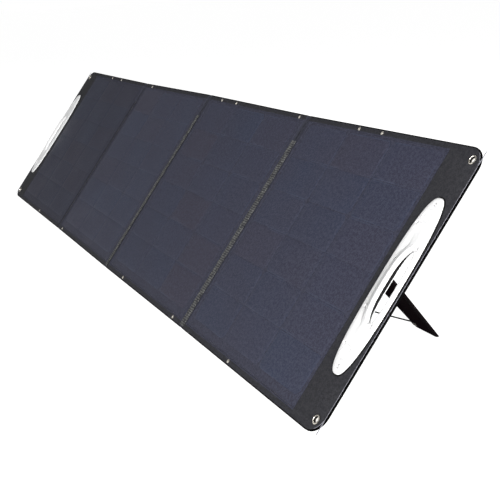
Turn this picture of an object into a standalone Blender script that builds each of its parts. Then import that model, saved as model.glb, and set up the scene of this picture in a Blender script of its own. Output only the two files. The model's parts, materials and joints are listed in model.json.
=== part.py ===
"""Folding solar panel: four stiff panels joined by fabric hinges, two handles and two kickstands.

Every panel is built in its own flat frame: X along the width, Y up the sheet and Z towards the
sun. A side of 1 is the right half of the sheet and -1 the left half, and the distance u runs
outwards from the fold that the panel hangs on.
"""

import math

import bmesh
import bpy
from mathutils import Vector

# Driving dimensions, in metres and degrees
PANEL_HEIGHT = 0.540
OUTER_WIDTH = 0.617
INNER_WIDTH = 0.543
FOLD_GAP = 0.014
STRIP_SIDE_GAP = 0.0012
STRIP_INSET = 0.0006
SHEET_ANGLE = 51.0
REST_VALLEY = 0.008
CLEARANCE = 0.0003

# Layers, as depths below the face
COVER_DEPTHS = (0.0009, 0.0)
CELL_DEPTHS = (0.0017, 0.0012)
CORE_DEPTHS = (0.0034, 0.0020)
BACK_DEPTHS = (0.0046, 0.0037)
SHEET_THICKNESS = BACK_DEPTHS[0]

# Fold axes: the outer folds close face to face, the middle fold back to back
FACE_AXIS = 0.004
BACK_AXIS = SHEET_THICKNESS + 0.005

# Panel outline and solar window
CORNER_RADIUS = 0.038
INNER_CORNER_RADIUS = 0.005
END_BORDER = 0.094
EDGE_BORDER = 0.015
FOLD_BORDER = 0.019
CORE_INSET = 0.002

# Handle, placed from the panel's end edge
HANDLE_CENTRE = 0.0415
HANDLE_HALF = (0.0342, 0.1685)
HANDLE_POWER = 2.6
HANDLE_RISE = 0.0045
HANDLE_RIM = 0.0014
HOLE_CENTRE = 0.0345
HOLE_HALF = (0.0155, 0.0700)
HOLE_POWER = 2.8
COLLAR_WALL = 0.0022
REAR_THICKNESS = 0.0025
REAR_INSET = 0.003
GRIP_HALF_LENGTH = 0.0805
GRIP_ENDS_AT = 0.0400
GRIP_MIDDLE_AT = 0.0480
GRIP_TOP = 0.0165
GRIP_SECTION = (0.0070, 0.0042)
GRIP_FOOT_DEPTH = 0.0018

# Screws: distance along the sheet from the handle's middle, distance from the end edge
SCREW_PLACES = ((0.1550, 0.0426), (0.1163, 0.0604), (0.0465, 0.0614), (0.0728, 0.0213))
SCREW_HEAD = (0.0031, 0.0015)
SCREW_SHANK_RADIUS = 0.0015
SCREW_RECESS_RADIUS = 0.0035
SCREW_HOLE_RADIUS = 0.0018

# Corner grommets
GROMMET_INSET = 0.0235
GROMMET_HOLE_RADIUS = 0.0050
GROMMET_BARREL_RADIUS = 0.0062
GROMMET_FLANGE_RADIUS = 0.0095
GROMMET_FLANGE = 0.0008

# Kickstands, on the outer panels' backs
LEG_FROM_END = 0.305
LEG_HINGE_HEIGHT = 0.335
LEG_ANGLE = 77.5
LEG_AXIS = SHEET_THICKNESS + 0.0042
LEG_TOP_GAP = 0.004
LEG_THICKNESS = 0.005
LEG_TOP_WIDTH = 0.150
LEG_FOOT_WIDTH = 0.0755
TAPE_FROM_AXIS = 0.004
TAPE_HEIGHT = 0.030
TAPE_THICKNESS = 0.0012
EYELET_FROM_EDGE = 0.0105
EYELET_FROM_FOOT = 0.016
EYELET_RADII = (0.0022, 0.0030, 0.0052)
EYELET_LIP = 0.0006

# Stay cords
ANCHOR_FROM_LEG = 0.095
ANCHOR_HEIGHT = 0.186
ANCHOR_TAB = (0.022, 0.018, 0.0012)
CORD_RADIUS = 0.0015
CORD_EDGE_GAP = 0.0022
CORD_END_GAP = 0.0010

# Junction box, on the left outer panel's back
BOX_FROM_END = 0.460
BOX_HEIGHT = 0.445
BOX_SIZE = (0.092, 0.062, 0.015)
BOX_WALL = 0.002
BOX_COVER = 0.002
SOCKET_RADIUS = 0.006
SOCKET_LENGTH = 0.016
SOCKET_STEPS = ((0.0, 1.0), (0.35, 1.0), (0.35, 0.8), (1.0, 0.8))

DEPTH_OF_CUT = 0.03

MATERIALS = {
    "cover_fabric": ((0.030, 0.030, 0.036), 0.85, 0.0),
    "laminate": ((0.035, 0.040, 0.062), 0.45, 0.0),
    "cells": ((0.012, 0.014, 0.030), 0.35, 0.0),
    "board": ((0.30, 0.30, 0.28), 0.70, 0.0),
    "hinge_fabric": ((0.10, 0.10, 0.09), 0.90, 0.0),
    "white_plastic": ((0.86, 0.86, 0.86), 0.35, 0.0),
    "grommet_metal": ((0.62, 0.60, 0.56), 0.30, 1.0),
    "screw_metal": ((0.70, 0.70, 0.70), 0.35, 1.0),
    "leg_fabric": ((0.012, 0.010, 0.010), 0.80, 0.0),
    "black_cord": ((0.006, 0.006, 0.006), 0.75, 0.0),
    "black_plastic": ((0.015, 0.015, 0.016), 0.45, 0.0),
}


def clear_scene():
    for item in list(bpy.data.objects):
        bpy.data.objects.remove(item, do_unlink=True)


def material(slot):
    found = bpy.data.materials.get(slot)
    if found:
        return found
    color, roughness, metallic = MATERIALS[slot]
    made = bpy.data.materials.new(slot)
    made.use_nodes = True
    shader = made.node_tree.nodes["Principled BSDF"]
    shader.inputs["Base Color"].default_value = (*color, 1.0)
    shader.inputs["Roughness"].default_value = roughness
    shader.inputs["Metallic"].default_value = metallic
    return made


def empty(name, parent, location, rotation=(0.0, 0.0, 0.0)):
    made = bpy.data.objects.new(name, None)
    bpy.context.scene.collection.objects.link(made)
    made.parent = parent
    made.location = location
    made.rotation_euler = rotation
    return made


def finish_mesh(name, bm, slot, parent, location=(0.0, 0.0, 0.0)):
    """Turns a bmesh into a named object under its parent, with its faces pointing out."""
    bmesh.ops.remove_doubles(bm, verts=bm.verts, dist=1e-7)
    bmesh.ops.recalc_face_normals(bm, faces=bm.faces)
    mesh = bpy.data.meshes.new(name)
    bm.to_mesh(mesh)
    bm.free()
    made = bpy.data.objects.new(name, mesh)
    bpy.context.scene.collection.objects.link(made)
    made.parent = parent
    made.location = location
    if slot:
        mesh.materials.append(material(slot))
    return made


def add_loft(bm, rings):
    """One closed body through rings of points, capped at both ends."""
    loops = [[bm.verts.new(point) for point in ring] for ring in rings]
    count = len(loops[0])
    for lower, upper in zip(loops, loops[1:]):
        for i in range(count):
            j = (i + 1) % count
            bm.faces.new((lower[i], lower[j], upper[j], upper[i]))
    bm.faces.new(loops[0][::-1])
    bm.faces.new(loops[-1])


def flat_ring(outline, z):
    return [(x, y, z) for x, y in outline]


def slab(name, outline, depths, slot, parent):
    """A flat layer between two depths below the face, at the panel's own frame."""
    bm = bmesh.new()
    add_loft(bm, [flat_ring(outline, -depth) for depth in depths])
    return finish_mesh(name, bm, slot, parent)


def block(name, low, high, slot, parent):
    bm = bmesh.new()
    outline = rectangle(low[0], high[0], low[1], high[1])
    add_loft(bm, [flat_ring(outline, low[2]), flat_ring(outline, high[2])])
    return finish_mesh(name, bm, slot, parent)


def rectangle(x0, x1, y0, y1):
    return [(x0, y0), (x1, y0), (x1, y1), (x0, y1)]


def rounded_outline(width, height, near_radius, far_radius, inset=0.0, segments=6):
    """A panel's outline from u = 0 to width, with one radius at each end's corners."""
    corners = (
        (width, 0.0, far_radius, -90),
        (width, height, far_radius, 0),
        (0.0, height, near_radius, 90),
        (0.0, 0.0, near_radius, 180),
    )
    points = []
    for u, v, radius, start in corners:
        centre_u = u - math.copysign(radius, u - width / 2)
        centre_v = v - math.copysign(radius, v - height / 2)
        reach = radius - inset
        for step in range(segments + 1):
            turn = math.radians(start + 90 * step / segments)
            points.append((centre_u + reach * math.cos(turn), centre_v + reach * math.sin(turn)))
    return points


def oval(centre, half, power, count=40, inset=0.0):
    points = []
    for step in range(count):
        turn = 2 * math.pi * step / count
        c, s = math.cos(turn), math.sin(turn)
        x = math.copysign(abs(c) ** (2 / power), c) * (half[0] - inset)
        y = math.copysign(abs(s) ** (2 / power), s) * (half[1] - inset)
        points.append((centre[0] + x, centre[1] + y))
    return points


def circle(centre, radius, count=10):
    return oval(centre, (radius, radius), 2.0, count)


def cutter(name, outlines, low, high, parent):
    """Prisms through flat layers, as one hidden object of separate closed bodies."""
    bm = bmesh.new()
    for outline in outlines:
        add_loft(bm, [flat_ring(outline, low), flat_ring(outline, high)])
    made = finish_mesh(name, bm, None, parent)
    made.hide_render = True
    made.display_type = "WIRE"
    return made


def combine(target, tool, operation):
    modifier = target.modifiers.new(operation.lower(), "BOOLEAN")
    modifier.operation = operation
    modifier.solver = "EXACT"
    modifier.object = tool


def move(outline, side, offset=0.0):
    """Carries an outline from outward distances to the panel's own X."""
    return [(side * (u + offset), v) for u, v in outline]


def add_ring(name, profile, count, slot, parent, location):
    """A ring turned about Z through a closed profile of radius and height."""
    bm = bmesh.new()
    loops = []
    for step in range(count):
        turn = 2 * math.pi * step / count
        c, s = math.cos(turn), math.sin(turn)
        loops.append([bm.verts.new((r * c, r * s, z)) for r, z in profile])
    for step in range(count):
        here, there = loops[step], loops[(step + 1) % count]
        for i in range(len(profile)):
            j = (i + 1) % len(profile)
            bm.faces.new((here[i], there[i], there[j], here[j]))
    return finish_mesh(name, bm, slot, parent, location)


def panel_frames():
    """The sheet's empty and one empty on each panel's own fold axis."""
    sheet = empty("sheet", None, (0, 0, 0), (math.radians(SHEET_ANGLE), 0, 0))
    frames = {}
    inner_yaw = math.asin(REST_VALLEY / INNER_WIDTH)
    outer_yaw = math.asin(REST_VALLEY / OUTER_WIDTH)
    reach = INNER_WIDTH * math.cos(inner_yaw)
    for side, name in ((-1, "left"), (1, "right")):
        frames["inner_" + name] = empty(
            "inner_fold_" + name, sheet, (0, 0, -BACK_AXIS), (0, side * inner_yaw, 0)
        )
        frames["outer_" + name] = empty(
            "outer_fold_" + name,
            sheet,
            (side * reach, 0, FACE_AXIS - REST_VALLEY),
            (0, -side * outer_yaw, 0),
        )
    return sheet, frames


def face_frame(frame, height):
    """An empty level with a panel's face, which the fold axis stands off from."""
    return empty(frame.name + "_face", frame, (0, 0, height))


def build_panel(name, side, width, outer, face):
    """The five layers of one panel."""
    length = width - FOLD_GAP / 2 - (0 if outer else FOLD_GAP / 2)
    far_radius = CORNER_RADIUS if outer else INNER_CORNER_RADIUS
    start = FOLD_GAP / 2
    end = width if outer else width - FOLD_GAP / 2

    def outline(inset):
        plain = rounded_outline(length, PANEL_HEIGHT, INNER_CORNER_RADIUS, far_radius, inset)
        return move(plain, side, start)

    window_end = end - (END_BORDER if outer else FOLD_BORDER - FOLD_GAP / 2)
    low, high = EDGE_BORDER, PANEL_HEIGHT - EDGE_BORDER
    window = move(rectangle(FOLD_BORDER, window_end, low, high), side)
    gap = CLEARANCE
    pane = move(rectangle(FOLD_BORDER + gap, window_end - gap, low + gap, high - gap), side)
    layers = [
        slab("front_cover_" + name, outline(0), COVER_DEPTHS, "cover_fabric", face),
        slab("core_board_" + name, outline(CORE_INSET), CORE_DEPTHS, "board", face),
        slab("back_cover_" + name, outline(0), BACK_DEPTHS, "cover_fabric", face),
    ]
    window_cutter = cutter("window_" + name, [window], -DEPTH_OF_CUT, DEPTH_OF_CUT, face)
    combine(layers[0], window_cutter, "DIFFERENCE")
    slab("laminate_" + name, pane, COVER_DEPTHS, "laminate", face)
    slab("cell_sheet_" + name, pane, CELL_DEPTHS, "cells", face)
    return layers


def handle_hole(side, inset=0.0):
    centre = (OUTER_WIDTH - HOLE_CENTRE, PANEL_HEIGHT / 2)
    return move(oval(centre, HOLE_HALF, HOLE_POWER, 28, inset), side)


def handle_outline(side, inset=0.0):
    centre = (OUTER_WIDTH - HANDLE_CENTRE, PANEL_HEIGHT / 2)
    return move(oval(centre, HANDLE_HALF, HANDLE_POWER, 40, inset), side)


def screw_centres(side):
    centres = []
    for way in (-1, 1):
        for along, from_end in SCREW_PLACES:
            centres.append((side * (OUTER_WIDTH - from_end), PANEL_HEIGHT / 2 + way * along))
    return centres


def grommet_centres(side):
    x = side * (OUTER_WIDTH - GROMMET_INSET)
    return [(x, GROMMET_INSET), (x, PANEL_HEIGHT - GROMMET_INSET)]


def cut_layers(name, side, layers, face):
    """Opens the outer panel's layers for the handle's collar, the screws and the grommets."""
    outlines = [handle_hole(side, -COLLAR_WALL - CLEARANCE)]
    outlines += [circle(centre, SCREW_HOLE_RADIUS, 8) for centre in screw_centres(side)]
    barrel = GROMMET_BARREL_RADIUS + CLEARANCE
    outlines += [circle(centre, barrel, 16) for centre in grommet_centres(side)]
    holes = cutter("sheet_holes_" + name, outlines, -DEPTH_OF_CUT, DEPTH_OF_CUT, face)
    for layer in layers:
        combine(layer, holes, "DIFFERENCE")


def grip_mesh(name, side, face):
    """The arched bar across the hand hole, sunk into the moulding at both ends."""
    bm = bmesh.new()
    rings = []
    steps = 16
    half_width, full_depth = GRIP_SECTION
    foot = HANDLE_RISE / 2
    for step in range(steps + 1):
        q = 2 * step / steps - 1
        rise = 1 - abs(q) ** 4
        from_end = GRIP_ENDS_AT + (GRIP_MIDDLE_AT - GRIP_ENDS_AT) * (1 - q * q)
        half_depth = GRIP_FOOT_DEPTH + (full_depth - GRIP_FOOT_DEPTH) * rise
        middle = foot + (GRIP_TOP - full_depth - foot) * rise
        ring = []
        for corner in range(8):
            turn = 2 * math.pi * (corner + 0.5) / 8
            u = OUTER_WIDTH - from_end + half_width * math.cos(turn)
            v = PANEL_HEIGHT / 2 + q * GRIP_HALF_LENGTH
            ring.append((side * u, v, middle + half_depth * math.sin(turn)))
        rings.append(ring)
    add_loft(bm, rings)
    made = finish_mesh(name, bm, None, face)
    made.hide_render = True
    made.display_type = "WIRE"
    return made


def build_handle(name, side, face):
    """The front moulding with its collar and grip, and the rear plate behind the sheet."""
    bm = bmesh.new()
    rings = [
        flat_ring(handle_outline(side), CLEARANCE),
        flat_ring(handle_outline(side), HANDLE_RISE - HANDLE_RIM),
        flat_ring(handle_outline(side, HANDLE_RIM), HANDLE_RISE),
    ]
    add_loft(bm, rings)
    front = finish_mesh("handle_front_" + name, bm, "white_plastic", face)
    collar_end = -SHEET_THICKNESS
    collar = cutter(
        "collar_" + name, [handle_hole(side, -COLLAR_WALL)], collar_end, HANDLE_RISE / 2, face
    )
    through = [handle_hole(side)]
    through += [circle(centre, SCREW_HOLE_RADIUS, 8) for centre in screw_centres(side)]
    holes = cutter("handle_holes_" + name, through, -DEPTH_OF_CUT, DEPTH_OF_CUT, face)
    recess_floor = HANDLE_RISE - SCREW_HEAD[1] - CLEARANCE * 2
    recesses = cutter(
        "recesses_" + name,
        [circle(centre, SCREW_RECESS_RADIUS, 12) for centre in screw_centres(side)],
        recess_floor,
        DEPTH_OF_CUT,
        face,
    )
    combine(front, collar, "UNION")
    combine(front, holes, "DIFFERENCE")
    combine(front, recesses, "DIFFERENCE")
    combine(front, grip_mesh("grip_" + name, side, face), "UNION")
    rear_top = SHEET_THICKNESS + CLEARANCE
    rear_depths = (rear_top + REAR_THICKNESS, rear_top)
    rear_outline = handle_outline(side, REAR_INSET)
    rear = slab("handle_back_" + name, rear_outline, rear_depths, "white_plastic", face)
    combine(rear, holes, "DIFFERENCE")
    for number, centre in enumerate(screw_centres(side), 1):
        screw_name = f"handle_screw_{name}_{number}"
        build_screw(screw_name, centre, recess_floor + CLEARANCE, rear_depths[0], face)


def build_screw(name, centre, seat, tip_depth, face):
    """A pan head screw from its seat in the moulding to the rear plate."""
    head_radius, head_height = SCREW_HEAD
    tip = -tip_depth + CLEARANCE
    rings = [
        flat_ring(circle((0, 0), SCREW_SHANK_RADIUS, 8), tip),
        flat_ring(circle((0, 0), SCREW_SHANK_RADIUS, 8), seat),
        flat_ring(circle((0, 0), head_radius, 8), seat),
        flat_ring(circle((0, 0), head_radius, 8), seat + head_height * 0.5),
        flat_ring(circle((0, 0), head_radius * 0.7, 8), seat + head_height),
    ]
    bm = bmesh.new()
    add_loft(bm, rings)
    finish_mesh(name, bm, "screw_metal", face, (*centre, 0.0))


def build_grommets(name, side, face):
    front = CLEARANCE
    back = -SHEET_THICKNESS - CLEARANCE
    profile = [
        (GROMMET_HOLE_RADIUS, front + GROMMET_FLANGE),
        (GROMMET_FLANGE_RADIUS, front + GROMMET_FLANGE * 0.6),
        (GROMMET_FLANGE_RADIUS, front),
        (GROMMET_BARREL_RADIUS, front),
        (GROMMET_BARREL_RADIUS, back),
        (GROMMET_FLANGE_RADIUS, back),
        (GROMMET_FLANGE_RADIUS, back - GROMMET_FLANGE * 0.6),
        (GROMMET_HOLE_RADIUS, back - GROMMET_FLANGE),
    ]
    for (x, y), place in zip(grommet_centres(side), ("bottom", "top")):
        label = f"grommet_{name}_{place}"
        add_ring(label, profile, 16, "grommet_metal", face, (x, y, 0.0))


def build_hinges(faces):
    """The fabric strips that fill the gaps at the three folds."""
    half = FOLD_GAP / 2 - STRIP_SIDE_GAP
    top, bottom = -STRIP_INSET, STRIP_INSET - SHEET_THICKNESS
    places = (
        ("hinge_strip_left", "inner_left", -INNER_WIDTH),
        ("hinge_strip_middle", "inner_left", 0.0),
        ("hinge_strip_right", "inner_right", INNER_WIDTH),
    )
    for name, panel, x in places:
        low = (x - half, INNER_CORNER_RADIUS, bottom)
        high = (x + half, PANEL_HEIGHT - INNER_CORNER_RADIUS, top)
        block(name, low, high, "hinge_fabric", faces[panel])


def leg_half_width(along, length):
    """Half the tapering board's width at a distance from its hinge."""
    share = along / length
    return (LEG_TOP_WIDTH + (LEG_FOOT_WIDTH - LEG_TOP_WIDTH) * share) / 2


def build_leg(name, side, face):
    """A kickstand board on its own axis, its hinge tape, its eyelet, cord anchor and stay cord."""
    x = side * (OUTER_WIDTH - LEG_FROM_END)
    pivot = empty("leg_axis_" + name, face, (x, LEG_HINGE_HEIGHT, -LEG_AXIS))
    pivot.rotation_euler = (math.radians(LEG_ANGLE), 0, 0)
    bpy.context.view_layer.update()
    world = pivot.matrix_world
    along = world.to_3x3() @ Vector((0, -1, 0))
    normal = world.to_3x3() @ Vector((0, 0, 1))
    sideways = world.to_3x3() @ Vector((1, 0, 0))
    length = world.translation.z / -along.z

    def reach_floor(across, offset):
        drop = world.translation.z + across * sideways.z + offset * normal.z
        return drop / -along.z

    half = LEG_THICKNESS / 2
    wide = leg_half_width(LEG_TOP_GAP, length)
    narrow = LEG_FOOT_WIDTH / 2
    rings = []
    for offset in (-half, half):
        rings.append(
            [
                (-wide, -LEG_TOP_GAP, offset),
                (-narrow, -reach_floor(-narrow, offset), offset),
                (narrow, -reach_floor(narrow, offset), offset),
                (wide, -LEG_TOP_GAP, offset),
            ]
        )
    bm = bmesh.new()
    add_loft(bm, rings)
    board = finish_mesh("leg_board_" + name, bm, "leg_fabric", pivot)

    eyelet_along = length - EYELET_FROM_FOOT
    inner_edge = -side * leg_half_width(eyelet_along, length)
    eyelet_x = inner_edge + side * EYELET_FROM_EDGE
    hole_radius = EYELET_RADII[1] + CLEARANCE
    hole = cutter(
        "eyelet_hole_" + name,
        [circle((eyelet_x, -eyelet_along), hole_radius, 16)],
        -DEPTH_OF_CUT,
        DEPTH_OF_CUT,
        pivot,
    )
    combine(board, hole, "DIFFERENCE")
    inner, barrel, flange = EYELET_RADII
    front = half + CLEARANCE
    profile = [
        (inner, front + EYELET_LIP),
        (flange, front + EYELET_LIP),
        (flange, front),
        (barrel, front),
        (barrel, -front),
        (flange, -front),
        (flange, -front - EYELET_LIP),
        (inner, -front - EYELET_LIP),
    ]
    place = (eyelet_x, -eyelet_along, 0.0)
    add_ring("cord_eyelet_" + name, profile, 16, "grommet_metal", pivot, place)

    tape_low = LEG_HINGE_HEIGHT + TAPE_FROM_AXIS
    tape_face = -SHEET_THICKNESS - CLEARANCE
    block(
        "leg_hinge_tape_" + name,
        (x - LEG_TOP_WIDTH / 2, tape_low, tape_face - TAPE_THICKNESS),
        (x + LEG_TOP_WIDTH / 2, tape_low + TAPE_HEIGHT, tape_face),
        "leg_fabric",
        face,
    )
    anchor_x = x - side * ANCHOR_FROM_LEG
    tab_x, tab_y, tab_z = ANCHOR_TAB
    block(
        "cord_anchor_" + name,
        (anchor_x - tab_x / 2, ANCHOR_HEIGHT - tab_y / 2, tape_face - tab_z),
        (anchor_x + tab_x / 2, ANCHOR_HEIGHT + tab_y / 2, tape_face),
        "leg_fabric",
        face,
    )
    cord_start = Vector((anchor_x, ANCHOR_HEIGHT, tape_face - tab_z - CORD_END_GAP))
    edge_x = inner_edge - side * CORD_EDGE_GAP
    cord_end = face.matrix_world.inverted() @ world @ Vector((edge_x, -eyelet_along, 0.0))
    build_cord("stay_cord_" + name, cord_start, cord_end, face)


def build_cord(name, start, end, face):
    """A taut round cord between two points, as a filled curve tube."""
    curve = bpy.data.curves.new(name, "CURVE")
    curve.dimensions = "3D"
    curve.bevel_depth = CORD_RADIUS
    curve.bevel_resolution = 2
    curve.use_fill_caps = True
    spline = curve.splines.new("POLY")
    count = 12
    spline.points.add(count - 1)
    for step, point in enumerate(spline.points):
        point.co = (*start.lerp(end, step / (count - 1)), 1.0)
    made = bpy.data.objects.new(name, curve)
    bpy.context.scene.collection.objects.link(made)
    made.parent = face
    curve.materials.append(material("black_cord"))


def build_junction_box(side, face):
    """An open tray against the back cover, its lid, and the output socket below it."""
    x = side * (OUTER_WIDTH - BOX_FROM_END)
    width, height, depth = BOX_SIZE
    near = -SHEET_THICKNESS - CLEARANCE
    low = (x - width / 2, BOX_HEIGHT - height / 2)
    high = (x + width / 2, BOX_HEIGHT + height / 2)
    tray = block("junction_box_base", (*low, near - depth), (*high, near), "black_plastic", face)
    inside = rectangle(
        low[0] + BOX_WALL, high[0] - BOX_WALL, low[1] + BOX_WALL, high[1] - BOX_WALL
    )
    hollow = cutter("box_hollow", [inside], near - DEPTH_OF_CUT, near - BOX_WALL, face)
    combine(tray, hollow, "DIFFERENCE")
    lid_top = near - depth - CLEARANCE
    block(
        "junction_box_cover",
        (*low, lid_top - BOX_COVER),
        (*high, lid_top),
        "black_plastic",
        face,
    )
    bm = bmesh.new()
    centre_z = near - depth / 2
    rings = []
    for share, scale in SOCKET_STEPS:
        y = low[1] - CLEARANCE - share * SOCKET_LENGTH
        radius = SOCKET_RADIUS * scale
        rings.append([(x + px, y, centre_z + pz) for px, pz in circle((0, 0), radius, 12)])
    add_loft(bm, rings)
    finish_mesh("output_socket", bm, "black_plastic", face)


def lowest_and_highest(items):
    graph = bpy.context.evaluated_depsgraph_get()
    points = []
    for item in items:
        mesh = item.evaluated_get(graph).to_mesh()
        points += [item.matrix_world @ vertex.co for vertex in mesh.vertices]
        item.evaluated_get(graph).to_mesh_clear()
    low = [min(point[axis] for point in points) for axis in range(3)]
    high = [max(point[axis] for point in points) for axis in range(3)]
    return low, high


def shown_pieces():
    kinds = {"MESH", "CURVE"}
    return [item for item in bpy.data.objects if item.type in kinds and not item.hide_render]


def main():
    clear_scene()
    sheet, frames = panel_frames()
    faces = {}
    for name, frame in frames.items():
        height = BACK_AXIS if name.startswith("inner") else -FACE_AXIS
        faces[name] = face_frame(frame, height)
    for side, label in ((-1, "left"), (1, "right")):
        build_panel("inner_" + label, side, INNER_WIDTH, False, faces["inner_" + label])
        outer = faces["outer_" + label]
        layers = build_panel("outer_" + label, side, OUTER_WIDTH, True, outer)
        cut_layers(label, side, layers, outer)
        build_handle(label, side, outer)
        build_grommets(label, side, outer)
    build_hinges(faces)
    build_junction_box(-1, faces["outer_left"])
    bpy.context.view_layer.update()
    low, high = lowest_and_highest(shown_pieces())
    sheet.location.z = -low[2]
    for side, label in ((-1, "left"), (1, "right")):
        build_leg(label, side, faces["outer_" + label])
    bpy.context.view_layer.update()
    low, high = lowest_and_highest(shown_pieces())
    sheet.location.y = -(low[1] + high[1]) / 2
    bpy.context.view_layer.update()


main()
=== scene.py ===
import json
import math

import bmesh
import bpy
from mathutils import Matrix, Vector, noise


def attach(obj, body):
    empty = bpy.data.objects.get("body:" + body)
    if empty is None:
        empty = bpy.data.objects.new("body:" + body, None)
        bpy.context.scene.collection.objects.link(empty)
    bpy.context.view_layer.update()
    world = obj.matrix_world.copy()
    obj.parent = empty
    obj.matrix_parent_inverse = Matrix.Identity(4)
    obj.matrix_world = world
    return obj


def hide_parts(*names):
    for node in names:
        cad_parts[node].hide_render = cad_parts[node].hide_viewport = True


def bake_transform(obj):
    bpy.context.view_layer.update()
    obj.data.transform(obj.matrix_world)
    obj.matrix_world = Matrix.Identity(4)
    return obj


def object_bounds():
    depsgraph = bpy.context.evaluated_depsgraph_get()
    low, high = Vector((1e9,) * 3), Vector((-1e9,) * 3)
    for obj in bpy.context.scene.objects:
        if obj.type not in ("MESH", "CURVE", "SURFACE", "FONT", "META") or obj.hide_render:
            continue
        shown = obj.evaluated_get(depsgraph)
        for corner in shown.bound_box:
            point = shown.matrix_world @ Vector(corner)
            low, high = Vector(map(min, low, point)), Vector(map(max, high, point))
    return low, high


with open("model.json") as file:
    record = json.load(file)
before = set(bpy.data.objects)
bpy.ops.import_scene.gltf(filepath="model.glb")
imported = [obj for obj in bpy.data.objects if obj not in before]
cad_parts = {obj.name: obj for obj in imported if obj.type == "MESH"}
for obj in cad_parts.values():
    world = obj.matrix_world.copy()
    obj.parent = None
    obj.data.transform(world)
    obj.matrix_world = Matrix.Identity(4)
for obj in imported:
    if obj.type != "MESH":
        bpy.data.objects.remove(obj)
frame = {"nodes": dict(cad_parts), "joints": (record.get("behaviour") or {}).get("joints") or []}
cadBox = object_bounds()
print("frame loaded")

sides = {"left": -1, "right": 1}
panel = {
    "height": 0.540,
    "outerWidth": 0.617,
    "innerWidth": 0.543,
    "foldGap": 0.014,
    "valley": 0.008,  # how far the zigzag steps at each fold
    "faceAxis": 0.004,  # fold axis in front of the face, outer folds
    "backAxis": 0.0096,  # fold axis behind the face, middle fold
    "thick": 0.0046,
    "outerCorner": 0.038,
    "innerCorner": 0.0012,
    "sideBorder": 0.019,
    "endBorder": 0.094,
    "edgeBorder": 0.015,
}

# places of the panels, read from the joints


def placeFrom(origin, x, y, z):
    place = Matrix((x, y, z)).transposed().to_4x4()
    place.translation = origin
    return place


jointOf = {joint["name"]: joint for joint in frame["joints"]}
upSheet = Vector(jointOf["middle_fold"]["axis"]).normalized()
sunward = Vector((1, 0, 0)).cross(upSheet)


def panelPlace(joint, turn, rise):
    spin = Matrix.Rotation(turn, 3, upSheet)
    x, z = spin @ Vector((1, 0, 0)), spin @ sunward
    return placeFrom(Vector(jointOf[joint]["pos_m"]) + z * rise, x, upSheet, z)


innerYaw = math.asin(panel["valley"] / panel["innerWidth"])
outerYaw = math.asin(panel["valley"] / panel["outerWidth"])
places = {}
for label, side in sides.items():
    places["inner_" + label] = panelPlace("middle_fold", side * innerYaw, panel["backAxis"])
    places["outer_" + label] = panelPlace(label + "_fold", -side * outerYaw, -panel["faceAxis"])

# camera and cords come first

cameraSet = {
    "spot": (2.3790, -0.8524, 0.7083),
    "turn": (74.336, 3.575, 64.946),
    "lens": 68.4,
    "sensor": 36.0,
}


def makeCamera():
    lens = bpy.data.cameras.new("camera")
    lens.lens = cameraSet["lens"]
    lens.sensor_width = cameraSet["sensor"]
    lens.clip_start, lens.clip_end = 0.05, 100
    camera = bpy.data.objects.new("camera", lens)
    bpy.context.scene.collection.objects.link(camera)
    camera.location = cameraSet["spot"]
    camera.rotation_euler = [math.radians(a) for a in cameraSet["turn"]]
    bpy.context.scene.camera = camera


makeCamera()


# shader tools

class Value:
    # a socket that can be used in plain sums
    def __init__(self, tree, socket):
        self.tree = tree
        self.socket = socket

    def math(self, operation, *others):
        node = self.tree.nodes.new("ShaderNodeMath")
        node.operation = operation
        for slot, item in zip(node.inputs, others):
            if isinstance(item, Value):
                self.tree.links.new(item.socket, slot)
            else:
                slot.default_value = item
        return Value(self.tree, node.outputs[0])

    def __add__(self, other):
        return self.math("ADD", self, other)

    def __radd__(self, other):
        return self.math("ADD", other, self)

    def __sub__(self, other):
        return self.math("SUBTRACT", self, other)

    def __rsub__(self, other):
        return self.math("SUBTRACT", other, self)

    def __mul__(self, other):
        return self.math("MULTIPLY", self, other)

    def __rmul__(self, other):
        return self.math("MULTIPLY", other, self)

    def __truediv__(self, other):
        return self.math("DIVIDE", self, other)

    def sine(self):
        return self.math("SINE", self)

    def size(self):
        return self.math("ABSOLUTE", self)

    def floor(self):
        return self.math("FLOOR", self)

    def least(self, other):
        return self.math("MINIMUM", self, other)

    def most(self, other):
        return self.math("MAXIMUM", self, other)

    def held(self):
        return self.most(0.0).least(1.0)


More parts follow.
